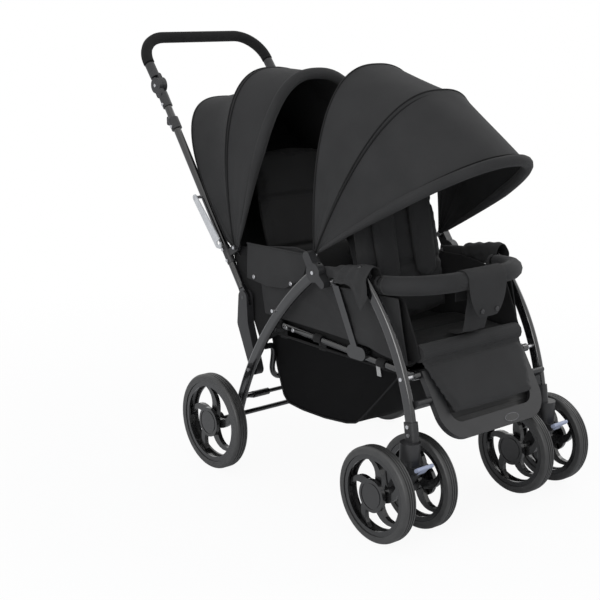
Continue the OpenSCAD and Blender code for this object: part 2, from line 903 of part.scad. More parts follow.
// Armrest links between the hubs and the front legs, with the bumper bar's mounts
module arm_left() {
    color(cloth_grey) framed() difference() {
        union() {
            slab(arm_y0, arm_y1) {
                link2d(hub_p, arm_p, arm_r, arm_r);
                link2d(arm_p, bumper_p, arm_r - over, arm_r * clip_share);
            }
            pin(bumper_p, bumper_core, bumper_half - bumper_r + pin_out, arm_y0 + over);
        }
        pin(hub_p, pin_r + fit, arm_y0 - over, arm_y1 + over);
        pin(arm_p, pin_r + fit, arm_y0 - over, arm_y1 + over);
    }
}

module arm_right() {
    right() arm_left();
}

// Front frame
module front_bow() {
    bow_tube(front_c, front_leg_r, front_leg_y, front_at(0), front_at(front_top_share), leg_wide, leg_thick);
}

module front_leg_left() {
    color(black_paint) framed() front_bow();
}

module front_leg_right() {
    right() front_leg_left();
}

module caster_sockets() {
    color(dark_plastic) framed() both() difference() {
        union() {
            translate([caster_x, caster_y, socket_low]) cylinder(h = socket_high - socket_low, r = socket_r);
            bow_tube(front_c, front_leg_r, front_leg_y, front_at(-socket_more_share),
                front_at(socket_top_share), leg_wide + 2 * sleeve_wall, leg_thick + 2 * sleeve_wall);
        }
        front_bow();
        translate([caster_x, caster_y, socket_low - over])
            cylinder(h = stem_top - socket_low + 2 * over, r = stem_r + fit);
    }
}

module foot_outline(inset) {
    r = foot_corner - inset;
    x1 = foot_len - foot_corner;
    y1 = foot_half - foot_corner;
    translate([0, -foot_half + inset]) square([x1, 2 * (foot_half - inset)]);
    translate([x1 - over, -y1]) square([foot_corner - inset + over, 2 * y1]);
    for (s = [-1, 1]) translate([x1, s * y1]) circle(r = r);
}

module footboard() {
    lug = on_front(lug_share);
    slope = [cos(foot_lean), -sin(foot_lean)];
    raised = [sin(foot_lean), cos(foot_lean)];
    hold = foot_p + ((lug - foot_p) * slope) * slope + foot_thick * half_shares * raised;
    color(dark_plastic) framed() {
        translate([foot_p[0], 0, foot_p[1]]) rotate([0, foot_lean, 0]) {
            linear_extrude(height = foot_thick) difference() {
                foot_outline(0);
                translate([-over, 0]) foot_outline(foot_wide);
            }
            linear_extrude(height = foot_floor) difference() {
                intersection() {
                    foot_outline(foot_wide - over);
                    translate([foot_floor_from, -foot_half]) square([foot_len, 2 * foot_half]);
                }
                for (i = [-2:2]) for (k = [0:slot_rows - 1])
                    translate([foot_floor_from + slot_wide + k * 2 * slot_wide, i * slot_gap])
                        square([slot_wide, slot_long], center = true);
            }
        }
        both() slab(foot_half - foot_wide, front_in)
            link2d(lug, hold, lug_r, foot_thick * half_shares * tang_share);
    }
}

module front_rivets() {
    color(bright_steel) framed() both() {
        pin(arm_p, pin_r, arm_y0 - pin_out, front_in);
        pin(arm_p, rivet_r, front_out, front_out + rivet_high);
        pin(rail_p, pin_r, rail_y - rail_r - pin_out, front_in);
        pin(rail_p, rivet_r, front_out, front_out + rivet_high);
        for (share = socket_rivet_shares)
            pin(on_front(share), rivet_r, front_out + sleeve_wall, front_out + sleeve_wall + rivet_high);
    }
}

// Swivel castors: stem, knee and axle, with lugs for the swivel lock
module caster_left() {
    color(dark_plastic) framed() difference() {
        union() {
            translate([caster_x, caster_y, caster_top - caster_disc]) cylinder(h = caster_disc, r = socket_r);
            translate([caster_x, caster_y, caster_top - over])
                cylinder(h = stem_top - caster_top + over, r = stem_r);
            slab(caster_y - caster_wide, caster_y + caster_wide)
                link2d([caster_x, caster_top - caster_knee], caster_axle, caster_knee, fork_r);
            for (s = [-1, 1])
                slab(caster_y + s * (lever_half + loose + lug_half) / 2 - (lug_half - lever_half - loose) / 2,
                    caster_y + s * (lever_half + loose + lug_half) / 2 + (lug_half - lever_half - loose) / 2)
                    link2d([caster_x, lever_p[1]], lever_p, lever_r, lever_r);
            pin(lever_p, lever_pin, caster_y - lug_half, caster_y + lug_half);
            pin(caster_axle, axle_r, inner_y - axle_reach, outer_y + axle_reach);
        }
        slab(caster_y - lever_half - loose, caster_y + lever_half + loose) difference() {
            spot(lever_p) circle(r = lever_r + 2 * loose);
            spot(lever_p) circle(r = lever_pin);
        }
    }
}

module caster_right() {
    right() caster_left();
}

module swivel_lever_left() {
    color(lever_blue) framed() slab(caster_y - lever_half, caster_y + lever_half) difference() {
        union() {
            spot(lever_p) circle(r = lever_r);
            link2d(lever_p, lever_p + lever_tip, lever_r, lever_tip_r);
        }
        spot(lever_p) circle(r = lever_pin + fit);
    }
    color(lever_blue) framed() slab(caster_y - lever_wing, caster_y + lever_wing)
        link2d(lever_p + lever_root_share * lever_tip, lever_p + lever_tip, lever_tip_r, lever_tip_r);
}

module swivel_lever_right() {
    right() swivel_lever_left();
}

module front_tyre_left_outer() {
    color(tyre_grey) framed() at_front_wheel(true) tyre_shape(front_wheel_r, front_wheel_w);
}

module front_rim_left_outer() {
    color(dark_plastic) framed() at_front_wheel(true) rim_shape(front_wheel_r, front_wheel_w);
}

module front_tyre_left_inner() {
    color(tyre_grey) framed() at_front_wheel(false) tyre_shape(front_wheel_r, front_wheel_w);
}

module front_rim_left_inner() {
    color(dark_plastic) framed() at_front_wheel(false) rim_shape(front_wheel_r, front_wheel_w);
}

module front_tyre_right_outer() {
    right() front_tyre_left_outer();
}

module front_rim_right_outer() {
    right() front_rim_left_outer();
}

module front_tyre_right_inner() {
    right() front_tyre_left_inner();
}

module front_rim_right_inner() {
    right() front_rim_left_inner();
}

// Seat rails, struts, seats and basket
module rail_shape() {
    rod([rail_back_p[0], rail_y, rail_back_p[1]], [rail_p[0], rail_y, rail_p[1]], rail_r);
    pin(rail_p, rail_r + over, rail_y - rail_r, rail_y + rail_r);
}

module rail_left() {
    color(black_paint) framed() difference() {
        rail_shape();
        pin(rail_p, pin_r + fit, rail_y - rail_r - over, rail_y + rail_r + over);
    }
}

module rail_right() {
    right() rail_left();
}

module struts() {
    color(black_paint) framed() both() difference() {
        union() {
            slab(strut_y0, strut_y0 + strut_thick) link2d(strut_foot_p, strut_p, strut_r, strut_r + over);
            slab(rail_y - rail_r * half_shares, strut_y0 + strut_thick)
                link2d(strut_foot_p + [-shoe_wedge, 0], strut_foot_p + [shoe_wedge, 0], shoe_wedge,
                    shoe_wedge);
        }
        rail_shape();
        slab(strut_y0 - over, strut_y0 + strut_thick + over)
            link2d(strut_p, strut_p + [3 * strut_r, 0], pin_r + 2 * loose, pin_r + 2 * loose);
    }
}

module seat_front() {
    color(cloth_grey) framed() translate([front_seat_x, 0, seat_top])
        pad(seat_half, front_seat_len, seat_edge, seat_crown, 2, channel_deep, 0);
    color(cloth_grey) framed() both() {
        slab(wing_y - side_thick, wing_y) polygon(wing_points);
        slab(seat_half - pin_out, wing_y) translate([front_seat_x + seat_edge, seat_top - side_thick])
            square([front_seat_len - 2 * seat_edge, side_thick]);
    }
}

module seat_rear() {
    color(cloth_grey) framed() {
        translate([rear_seat_x, 0, seat_top])
            pad(seat_half, rear_seat_len, seat_edge, seat_crown, 2, channel_deep, 0);
        both() slab(side_y - side_thick, side_y) polygon(side_points);
        both() slab(seat_half - pin_out, side_y) translate([rear_seat_x + seat_edge, seat_top - side_thick])
            square([rear_seat_len - 2 * seat_edge, side_thick]);
    }
}

module basket() {
    n = len(basket_points) - 1;
    mid = (basket_points[0] + basket_points[n]) / 2;
    inner = [for (p = basket_points) p + basket_wall * (mid - p) / norm(mid - p)];
    brim = [basket_points[n] + [-basket_wall, over], basket_points[0] + [basket_wall, over]];
    color(mesh_black) framed() difference() {
        slab(-basket_half, basket_half) polygon(basket_points);
        slab(basket_wall - basket_half, basket_half - basket_wall)
            polygon(concat([for (i = [1:n - 1]) inner[i]], brim));
    }
}

module leaning(p, lean) {
    translate([p[0], 0, p[1]]) rotate([0, lean - facing, 0]) mirror([0, 0, 1]) children();
}

module backrest_front() {
    color(cloth_grey) framed() leaning(front_back_p, -front_back_lean)
        pad(back_half, back_len, back_edge, back_crown, 3, channel_deep, back_taper_share);
}

module harness_front() {
    color(foam_black) framed() leaning(front_back_p, -front_back_lean) {
        for (s = [-1, 1])
            translate([back_len * strap_from_share, s * belt_apart,
                back_edge / 2 + back_crown + belt_thick / 2 + loose])
                pad(belt_half, belt_len, belt_thick, belt_thick, 0, 0, 0);
    }
}

module backrest_rear() {
    color(cloth_grey) framed() leaning(rear_back_p, -rear_back_lean)
        pad(back_half, back_len, back_edge, back_crown, 3, channel_deep, back_taper_share);
}

// Canopies
module front_canopy_rear() {
    color(cloth_grey) framed()
        gore(clip_p, front_arch_back, front_arch_mid + arch_split, front_bow_h,
            front_bow_h - front_bow_drop, canopy_half);
}

module front_canopy_visor() {
    color(cloth_grey) framed()
        gore(clip_p, front_arch_mid, visor_angle, front_bow_h - front_bow_drop, visor_reach, canopy_half);
}

module rear_canopy_back() {
    color(cloth_grey) framed()
        gore(ear_p, rear_arch_back, rear_arch_mid + arch_split, rear_bow_h + rear_bow_more,
            rear_bow_h, canopy_half);
}

module rear_canopy_front() {
    color(cloth_grey) framed()
        gore(ear_p, rear_arch_mid, rear_arch_front, rear_bow_h, rear_bow_h, canopy_half);
}

// The curtain that closes the rear canopy behind the child
module rear_curtain() {
    tall = rear_bow_h + rear_bow_more - canopy_thick - curtain_gap;
    arch = [for (j = [0:arch_steps])
        [tall * bent(sin(arch_turn(j))), curtain_half * bent(cos(arch_turn(j)))]];
    color(cloth_grey) framed() translate([ear_p[0], 0, ear_p[1]]) rotate([0, -rear_arch_back, 0])
        translate([0, 0, -curtain_thick]) linear_extrude(height = curtain_thick)
            polygon(concat(arch, [[-curtain_drop, -curtain_foot], [-curtain_drop, curtain_foot]]));
}

// Bumper bar, its flap and the calf rest
module at_bumper() {
    translate([bumper_p[0], 0, bumper_p[1]]) rotate([0, -bumper_tilt, 0]) children();
}

module bumper_bar() {
    reach = bumper_x - bumper_p[0];
    side = reach - bumper_bend;
    y = bumper_half - bumper_bend;
    color(cloth_grey) framed() difference() {
        at_bumper() {
            both() {
                rod([0, bumper_half, 0], [side + over, bumper_half, 0], bumper_r - seam);
                translate([side, y, 0])
                    rotate_extrude(angle = facing, $fn = 72) translate([bumper_bend, 0]) circle(r = bumper_r);
                pin([0, 0], bumper_r + over, bumper_half - bumper_r, arm_y0 + over);
            }
            rod([reach, -y - over, 0], [reach, y + over, 0], bumper_r - seam);
        }
        both() pin(bumper_p, bumper_core + fit, bumper_half - bumper_r - over, arm_y0 + over);
        both() translate([bumper_p[0] - 3 * bumper_r, arm_y0 - loose, bumper_p[1] - 3 * bumper_r])
            cube([5 * bumper_r, 3 * bumper_r, 6 * bumper_r]);
    }
}

module crotch_flap() {
    c = [bumper_x - bumper_p[0], 0];
    inner = bumper_r + fit;
    color(cloth_grey) framed() at_bumper() slab(-flap_half, flap_half) difference() {
        union() {
            spot(c) circle(r = inner + flap_thick);
            translate([c[0] + inner, -flap_drop]) square([flap_thick, flap_drop]);
            translate([c[0] - inner - flap_thick, -flap_drop]) square([flap_thick, flap_drop]);
        }
        spot(c) circle(r = inner);
        translate([c[0] - inner, -flap_drop - over]) square([2 * inner, flap_drop + over]);
    }
}

module calf_rest() {
    color(cloth_grey) framed() translate([calf_p[0], 0, calf_p[1]]) rotate([0, calf_lean - facing, 0])
        pad(calf_half, calf_len, calf_edge, calf_crown, 0, 0, calf_taper_share);
}

rear_leg_right();
rear_leg_left();
hubs();
rear_axle();
rear_cross_tube();
rear_studs();
brake_bar();
rear_tyre_right();
rear_rim_right();
rear_tyre_left();
rear_rim_left();
fold_shoes();
push_tube_right();
push_tube_left();
collars();
canopy_ears();
lower_sleeves();
push_rivets();
rear_canopy_back();
rear_canopy_front();
rear_curtain();
fold_hook();
handle_bar();
handle_foam();
upper_sleeves();
handle_button_right();
handle_button_left();
arm_right();
arm_left();
front_leg_right();
front_leg_left();
caster_sockets();
footboard();
front_rivets();
caster_right();
caster_left();
swivel_lever_right();
swivel_lever_left();
front_tyre_right_outer();
front_rim_right_outer();
front_tyre_right_inner();
front_rim_right_inner();
front_tyre_left_outer();
front_rim_left_outer();
front_tyre_left_inner();
front_rim_left_inner();
rail_right();
rail_left();
struts();
seat_front();
seat_rear();
basket();
backrest_front();
harness_front();
backrest_rear();
front_canopy_rear();
front_canopy_visor();
bumper_bar();
crotch_flap();
calf_rest();
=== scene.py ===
import math

import bpy
from mathutils import Matrix, Vector


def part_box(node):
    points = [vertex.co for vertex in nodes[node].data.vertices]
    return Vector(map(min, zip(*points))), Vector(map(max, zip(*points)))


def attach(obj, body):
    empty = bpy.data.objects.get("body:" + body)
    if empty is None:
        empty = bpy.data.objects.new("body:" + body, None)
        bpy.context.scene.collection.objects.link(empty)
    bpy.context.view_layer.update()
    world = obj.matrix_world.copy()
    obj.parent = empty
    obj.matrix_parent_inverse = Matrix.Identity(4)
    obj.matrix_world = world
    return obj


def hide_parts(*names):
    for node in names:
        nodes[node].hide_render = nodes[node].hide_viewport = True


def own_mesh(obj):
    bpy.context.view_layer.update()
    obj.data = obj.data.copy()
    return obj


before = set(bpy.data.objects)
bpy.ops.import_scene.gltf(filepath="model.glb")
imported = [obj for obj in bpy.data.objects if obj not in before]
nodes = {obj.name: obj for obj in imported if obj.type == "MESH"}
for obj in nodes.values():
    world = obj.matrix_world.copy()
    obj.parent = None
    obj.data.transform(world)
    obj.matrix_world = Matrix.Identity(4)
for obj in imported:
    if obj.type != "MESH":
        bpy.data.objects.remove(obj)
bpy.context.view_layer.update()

# Studio: a plain pale floor, a white surround and three soft lamps.
# The camera stands ahead and to the right, with the photograph's lens and distance.
bpy.ops.object.select_all(action="DESELECT")
scene = bpy.context.scene
scene.view_settings.view_transform = "Standard"

bpy.ops.object.camera_add(
    location=(2.21655, -1.95748, 1.10208),
    rotation=(math.radians(76.56), 0, math.radians(50.3)),
)
scene.camera = bpy.context.object
scene.camera.data.lens = 74.87
scene.camera.data.sensor_width = 36.0
scene.camera.data.clip_end = 60.0

for lamp_name, lamp_place, lamp_size, lamp_watts in (
    ("lamp_over", (0.9, -0.5, 2.9), 2.4, 5.0),
    ("lamp_right", (1.3, -2.9, 1.2), 1.8, 36.0),
    ("lamp_left", (0.4, 2.8, 1.9), 1.8, 22.0),
):
    bpy.ops.object.light_add(type="AREA", location=lamp_place)
    lamp = bpy.context.object
    lamp.name = lamp_name
    lamp.data.size = lamp_size
    lamp.data.energy = lamp_watts
    lamp.rotation_euler = (Vector((0.05, 0, 0.45)) - lamp.location).to_track_quat("-Z", "Y").to_euler()

world = bpy.data.worlds.new("studio_white")
world.use_nodes = True
scene.world = world
world_nodes = world.node_tree.nodes
world_links = world.node_tree.links
surround = world_nodes["Background"]
surround.inputs["Color"].default_value = (0.94, 0.96, 1.0, 1)
surround.inputs["Strength"].default_value = 0.72
seen_white = world_nodes.new("ShaderNodeBackground")
seen_white.inputs["Color"].default_value = (1, 1, 1, 1)
seen_white.inputs["Strength"].default_value = 1.0
world_ray = world_nodes.new("ShaderNodeLightPath")
world_mix = world_nodes.new("ShaderNodeMixShader")
seen_share = world_ray.outputs["Is Camera Ray"]
for ray in ("Is Glossy Ray", "Is Transmission Ray"):
    either = world_nodes.new("ShaderNodeMath")
    either.operation = "MAXIMUM"
    world_links.new(seen_share, either.inputs[0])
    world_links.new(world_ray.outputs[ray], either.inputs[1])
    seen_share = either.outputs[0]
world_links.new(seen_share, world_mix.inputs["Fac"])
world_links.new(surround.outputs["Background"], world_mix.inputs[1])
world_links.new(seen_white.outputs["Background"], world_mix.inputs[2])
world_links.new(world_mix.outputs["Shader"], world_nodes["World Output"].inputs["Surface"])

bpy.ops.mesh.primitive_plane_add(size=60, location=(0, 0, 0))
floor = bpy.context.object
floor.name = "floor"
floor_paint = bpy.data.materials.new("pale_floor")
floor_paint.use_nodes = True
floor_nodes = floor_paint.node_tree.nodes
floor_links = floor_paint.node_tree.links
floor_shader = floor_nodes["Principled BSDF"]
floor_shader.inputs["Base Color"].default_value = (0.86, 0.86, 0.86, 1)
floor_shader.inputs["Roughness"].default_value = 0.9
floor_shader.inputs["Specular IOR Level"].default_value = 0.0
floor_glow = floor_nodes.new("ShaderNodeEmission")
floor_glow.inputs["Color"].default_value = (1, 1, 1, 1)
floor_ray = floor_nodes.new("ShaderNodeLightPath")
floor_share = floor_nodes.new("ShaderNodeMath")
floor_share.operation = "MULTIPLY"
floor_place = floor_nodes.new("ShaderNodeTexCoord")
floor_far = floor_nodes.new("ShaderNodeVectorMath")
floor_far.operation = "LENGTH"
floor_fade = floor_nodes.new("ShaderNodeMapRange")
floor_fade.inputs["From Min"].default_value = 0.7
floor_fade.inputs["From Max"].default_value = 2.0
floor_fade.inputs["To Min"].default_value = 0.93
floor_fade.inputs["To Max"].default_value = 1.0
floor_links.new(floor_place.outputs["Object"], floor_far.inputs[0])
floor_links.new(floor_far.outputs["Value"], floor_fade.inputs["Value"])
floor_links.new(floor_fade.outputs["Result"], floor_share.inputs[1])
floor_mix = floor_nodes.new("ShaderNodeMixShader")
floor_links.new(floor_ray.outputs["Is Camera Ray"], floor_share.inputs[0])
floor_links.new(floor_share.outputs[0], floor_mix.inputs["Fac"])
floor_links.new(floor_shader.outputs["BSDF"], floor_mix.inputs[1])
floor_links.new(floor_glow.outputs["Emission"], floor_mix.inputs[2])
floor_links.new(floor_mix.outputs["Shader"], floor_nodes["Material Output"].inputs["Surface"])
floor.data.materials.append(floor_paint)


# Frame tubes: bowed flat legs, round push tubes, rails, struts and cross tubes of steel.
# They are powder-coated satin black, with the faint orange peel of the coat.
def speckled(name, dark, light, rough, blotch, grain, bump, **sockets):
    """A moulded or coated surface: two close tones in soft blotches over a fine grain."""
    material = bpy.data.materials.new(name)
    material.use_nodes = True
    tree = material.node_tree
    shader = tree.nodes["Principled BSDF"]
    for socket, value in sockets.items():
        shader.inputs[socket.replace("_", " ")].default_value = value
    place = tree.nodes.new("ShaderNodeTexCoord")
    blotches = tree.nodes.new("ShaderNodeTexNoise")
    blotches.inputs["Scale"].default_value = blotch
    blotches.inputs["Detail"].default_value = 4.0
    grains = tree.nodes.new("ShaderNodeTexNoise")
    grains.inputs["Scale"].default_value = grain
    grains.inputs["Detail"].default_value = 2.0
    tones = tree.nodes.new("ShaderNodeValToRGB")
    tones.color_ramp.elements[0].position = 0.3
    tones.color_ramp.elements[0].color = (*dark, 1)
    tones.color_ramp.elements[1].position = 0.7
    tones.color_ramp.elements[1].color = (*light, 1)
    gloss = tree.nodes.new("ShaderNodeMapRange")
    gloss.inputs["To Min"].default_value = rough[0]
    gloss.inputs["To Max"].default_value = rough[1]
    relief = tree.nodes.new("ShaderNodeBump")
    relief.inputs["Strength"].default_value = 0.6
    relief.inputs["Distance"].default_value = bump
    tree.links.new(place.outputs["Object"], blotches.inputs["Vector"])
    tree.links.new(place.outputs["Object"], grains.inputs["Vector"])
    tree.links.new(blotches.outputs["Fac"], tones.inputs["Fac"])
    tree.links.new(tones.outputs["Color"], shader.inputs["Base Color"])
    tree.links.new(blotches.outputs["Fac"], gloss.inputs["Value"])
    tree.links.new(gloss.outputs["Result"], shader.inputs["Roughness"])
    tree.links.new(grains.outputs["Fac"], relief.inputs["Height"])
    tree.links.new(relief.outputs["Normal"], shader.inputs["Normal"])
    return material


def wear(material, *pieces):
    """Gives each piece that material alone."""
    for piece in pieces:
        piece.data.materials.clear()
        piece.data.materials.append(material)


satin_black = speckled(
    "satin_black_paint", (0.004, 0.004, 0.0045), (0.007, 0.007, 0.0075), (0.16, 0.24), 30, 900, 0.00008,
    Coat_Weight=0.8, Coat_Roughness=0.07,
)
for tube in (
    "rear_leg_right", "rear_leg_left", "rear_axle", "brake_bar", "push_tube_right", "push_tube_left",
    "handle_bar", "front_leg_right", "front_leg_left", "rail_right", "rail_left", "struts",
):
    wear(satin_black, nodes[tube])

# Moulded fittings: hub covers, shoes, collars, ears, sleeves, sockets, castors and foot rest.
# They are injection-moulded dark grey plastic with a fine spark-eroded grain.
grained_plastic = speckled(
    "grained_plastic", (0.013, 0.013, 0.014), (0.020, 0.020, 0.021), (0.36, 0.48), 24, 1400, 0.0002,
)
for fitting in (
    "hubs", "fold_shoes", "collars", "canopy_ears", "lower_sleeves", "upper_sleeves", "caster_sockets",
    "footboard", "caster_right", "caster_left",
):
    wear(grained_plastic, nodes[fitting])
button_plastic = speckled(
    "button_plastic", (0.08, 0.08, 0.085), (0.11, 0.11, 0.115), (0.35, 0.45), 60, 1500, 0.0001,
)
wear(button_plastic, nodes["handle_button_right"], nodes["handle_button_left"])

# Wheels: solid foamed tyres pressed on glossy dark rims with curved spokes and flat hub caps.
# The rims are moulded plastic; the tyres are dark grey with a soft shine.
rim_plastic = speckled(
    "rim_plastic", (0.005, 0.005, 0.0053), (0.009, 0.009, 0.0093), (0.20, 0.30), 30, 1200, 0.0001,
    Coat_Weight=0.5, Coat_Roughness=0.1,
)
tyre_rubber = speckled(
    "tyre_rubber", (0.020, 0.020, 0.020), (0.032, 0.032, 0.0315), (0.46, 0.60), 40, 700, 0.0003,
    Coat_Weight=0.25, Coat_Roughness=0.3,
)
for side in ("right", "left"):
    wear(rim_plastic, nodes[f"rear_rim_{side}"])
    wear(tyre_rubber, nodes[f"rear_tyre_{side}"])
    for row in ("outer", "inner"):
        wear(rim_plastic, nodes[f"front_rim_{side}_{row}"])
        wear(tyre_rubber, nodes[f"front_tyre_{side}_{row}"])

# Rivets and pins are bright zinc; the fold hook is pale moulded plastic.
# The swivel-lock levers are blue-grey, so that a foot finds them.
bright_zinc = speckled(
    "bright_zinc", (0.62, 0.62, 0.63), (0.74, 0.74, 0.76), (0.22, 0.36), 220, 1800, 0.00006, Metallic=1.0,
)
wear(bright_zinc, nodes["rear_studs"], nodes["push_rivets"], nodes["front_rivets"])
pale_plastic = speckled("pale_plastic", (0.44, 0.45, 0.46), (0.52, 0.53, 0.54), (0.4, 0.5), 50, 1500, 0.0001)
wear(pale_plastic, nodes["fold_hook"])
lever_plastic = speckled("lever_plastic", (0.30, 0.34, 0.46), (0.36, 0.40, 0.53), (0.34, 0.44), 60, 1500, 0.0001)
wear(lever_plastic, nodes["swivel_lever_right"], nodes["swivel_lever_left"])

# Canopies: two hoods of charcoal woven cloth over bows, each a front and a back gore sewn at a piped seam.
# The gores fan out from the clips on the hubs and on the push tubes, and telescope when a hood is closed.
def woven(name, dark, light, pitch, sheen):
    """Plain-weave cloth: threads along the piece's own UV map, in metres, over soft tone blotches."""
    material = bpy.data.materials.new(name)
    material.use_nodes = True
    tree = material.node_tree
    shader = tree.nodes["Principled BSDF"]
    shader.inputs["Roughness"].default_value = 0.82
    shader.inputs["Specular IOR Level"].default_value = 0.3
    shader.inputs["Sheen Weight"].default_value = sheen
    shader.inputs["Sheen Roughness"].default_value = 0.45
    place = tree.nodes.new("ShaderNodeTexCoord")
    threads = []
    for direction in ("X", "Y"):
        thread = tree.nodes.new("ShaderNodeTexWave")
        thread.bands_direction = direction
        thread.inputs["Scale"].default_value = 0.314 / pitch
        thread.inputs["Distortion"].default_value = 0.6
        thread.inputs["Detail"].default_value = 1.0
        tree.links.new(place.outputs["UV"], thread.inputs["Vector"])
        threads.append(thread)
    weave = tree.nodes.new("ShaderNodeMath")
    weave.operation = "MULTIPLY"
    tree.links.new(threads[0].outputs["Fac"], weave.inputs[0])
    tree.links.new(threads[1].outputs["Fac"], weave.inputs[1])
    blotches = tree.nodes.new("ShaderNodeTexNoise")
    blotches.inputs["Scale"].default_value = 14.0
    blotches.inputs["Detail"].default_value = 5.0
    tree.links.new(place.outputs["Object"], blotches.inputs["Vector"])
    tone = tree.nodes.new("ShaderNodeMath")
    tone.operation = "MULTIPLY_ADD"
    tone.inputs[1].default_value = 0.35
    tree.links.new(weave.outputs[0], tone.inputs[0])
    tree.links.new(blotches.outputs["Fac"], tone.inputs[2])
    tones = tree.nodes.new("ShaderNodeValToRGB")
    tones.color_ramp.elements[0].position = 0.35
    tones.color_ramp.elements[0].color = (*dark, 1)
    tones.color_ramp.elements[1].position = 0.85
    tones.color_ramp.elements[1].color = (*light, 1)
    tree.links.new(tone.outputs[0], tones.inputs["Fac"])
    tree.links.new(tones.outputs["Color"], shader.inputs["Base Color"])
    relief = tree.nodes.new("ShaderNodeBump")
    relief.inputs["Strength"].default_value = 0.5
    relief.inputs["Distance"].default_value = pitch * 0.35
    tree.links.new(weave.outputs[0], relief.inputs["Height"])
    tree.links.new(relief.outputs["Normal"], shader.inputs["Normal"])
    return material


THREAD_PITCH = 0.0011
charcoal_cloth = woven("charcoal_cloth", (0.0185, 0.0185, 0.019), (0.026, 0.026, 0.0265), THREAD_PITCH, 0.01)
lining_cloth = woven("lining_cloth", (0.0045, 0.0045, 0.0048), (0.0075, 0.0075, 0.008), THREAD_PITCH, 0.02)
piping_cloth = woven("piping_cloth", (0.0035, 0.0035, 0.0038), (0.006, 0.006, 0.0064), 0.0008, 0.02)

UP = Vector((0, 0, 1))
AHEAD = Vector((1, 0, 0))
SIDES = ("right", -1), ("left", 1)
ARCH_POWER = 2.5
ARCH_FIRST = math.radians(0.36)
HOOD_STEPS = 96  # faces of a hood from one clip to the other
CREASE = 0.0016  # depth of the creases near the clips
TAIL_RISE = 0.36  # height above the clips at which a tail ends


def arch_point(pivot, angle, reach, half, turn, power=ARCH_POWER):
    """A point on a squarish hood arch that springs from the pivot at that angle above level."""
    f = ARCH_FIRST + (math.pi - 2 * ARCH_FIRST) * turn
    rise = reach * math.sin(f) ** (2 / power)
    wide = math.copysign(abs(math.cos(f)) ** (2 / power), math.cos(f))
    a = math.radians(angle)
    return Vector((pivot[0] + rise * math.cos(a), half * wide, pivot[1] + rise * math.sin(a)))


def sheet_of(name, columns, rows, point):
    """A grid pulled to shape by point(u, v), with a UV map in metres along the cloth."""
    bpy.ops.object.select_all(action="DESELECT")
    bpy.ops.mesh.primitive_grid_add(x_subdivisions=columns, y_subdivisions=rows, size=1)
    piece = bpy.context.object
    piece.name = name
    shares = [(vertex.co.x + 0.5, vertex.co.y + 0.5) for vertex in piece.data.vertices]
    for vertex, (u, v) in zip(piece.data.vertices, shares):
        vertex.co = point(u, v)
    wide = sum((point((i + 1) / 40, 0.5) - point(i / 40, 0.5)).length for i in range(40))
    long = sum((point(0.5, (i + 1) / 40) - point(0.5, i / 40)).length for i in range(40))
    uv = piece.data.uv_layers.active.data
    for loop in piece.data.loops:
        u, v = shares[loop.vertex_index]
        uv[loop.index].uv = (u * wide, v * long)
    return piece


def top_face(piece):
    """The face of the cloth that lies highest."""
    return max(piece.data.polygons, key=lambda face: face.center.z)


def face_towards(piece, face, way):
    """Turns the cloth over if that face of it looks away from way."""
    if face.normal.dot(way) < 0:
        piece.data.flip_normals()


def cut_area(piece):
    """The area the cloth was cut with: half of its mesh, which has two faces."""
    return sum(face.area for face in piece.data.polygons) / 2


def finish_cloth(piece, thick, level=1):
    """Gives the cloth its thickness, with a lining inside where it has a second material, and smooths it."""
    bpy.ops.object.select_all(action="DESELECT")
    piece.select_set(True)
    bpy.context.view_layer.objects.active = piece
    wall = piece.modifiers.new("wall", "SOLIDIFY")
    wall.thickness = thick
    wall.offset = -1
    wall.material_offset = 1
    bpy.ops.object.modifier_apply(modifier="wall")
    if level:
        smooth = piece.modifiers.new("smooth", "SUBSURF")
        smooth.levels = level
        smooth.render_levels = level
        bpy.ops.object.modifier_apply(modifier="smooth")
    bpy.ops.object.shade_smooth()


def tube_of(name, points, radius, material, closed=False, thin_ends=1.0):
    """A round roll along points, as a piping, hem cord or padded bar, which may thin towards its ends."""
    bpy.ops.object.select_all(action="DESELECT")
    line = bpy.data.curves.new(name, "CURVE")
    line.dimensions = "3D"
    line.bevel_depth = radius
    line.bevel_resolution = 4
    line.use_fill_caps = True
    spline = line.splines.new("POLY")
    spline.points.add(len(points) - 1)
    for i, (knot, place) in enumerate(zip(spline.points, points)):
        knot.co = (*place, 1)
        knot.radius = min(1.0, thin_ends + (1 - thin_ends) * min(i, len(points) - 1 - i) / len(points) * 6)
    spline.use_cyclic_u = closed
    roll = bpy.data.objects.new(name, line)
    scene.collection.objects.link(roll)
    roll.select_set(True)
    bpy.context.view_layer.objects.active = roll
    bpy.ops.object.convert(target="MESH")
    bpy.ops.object.shade_smooth()
    wear(material, roll)
    return roll


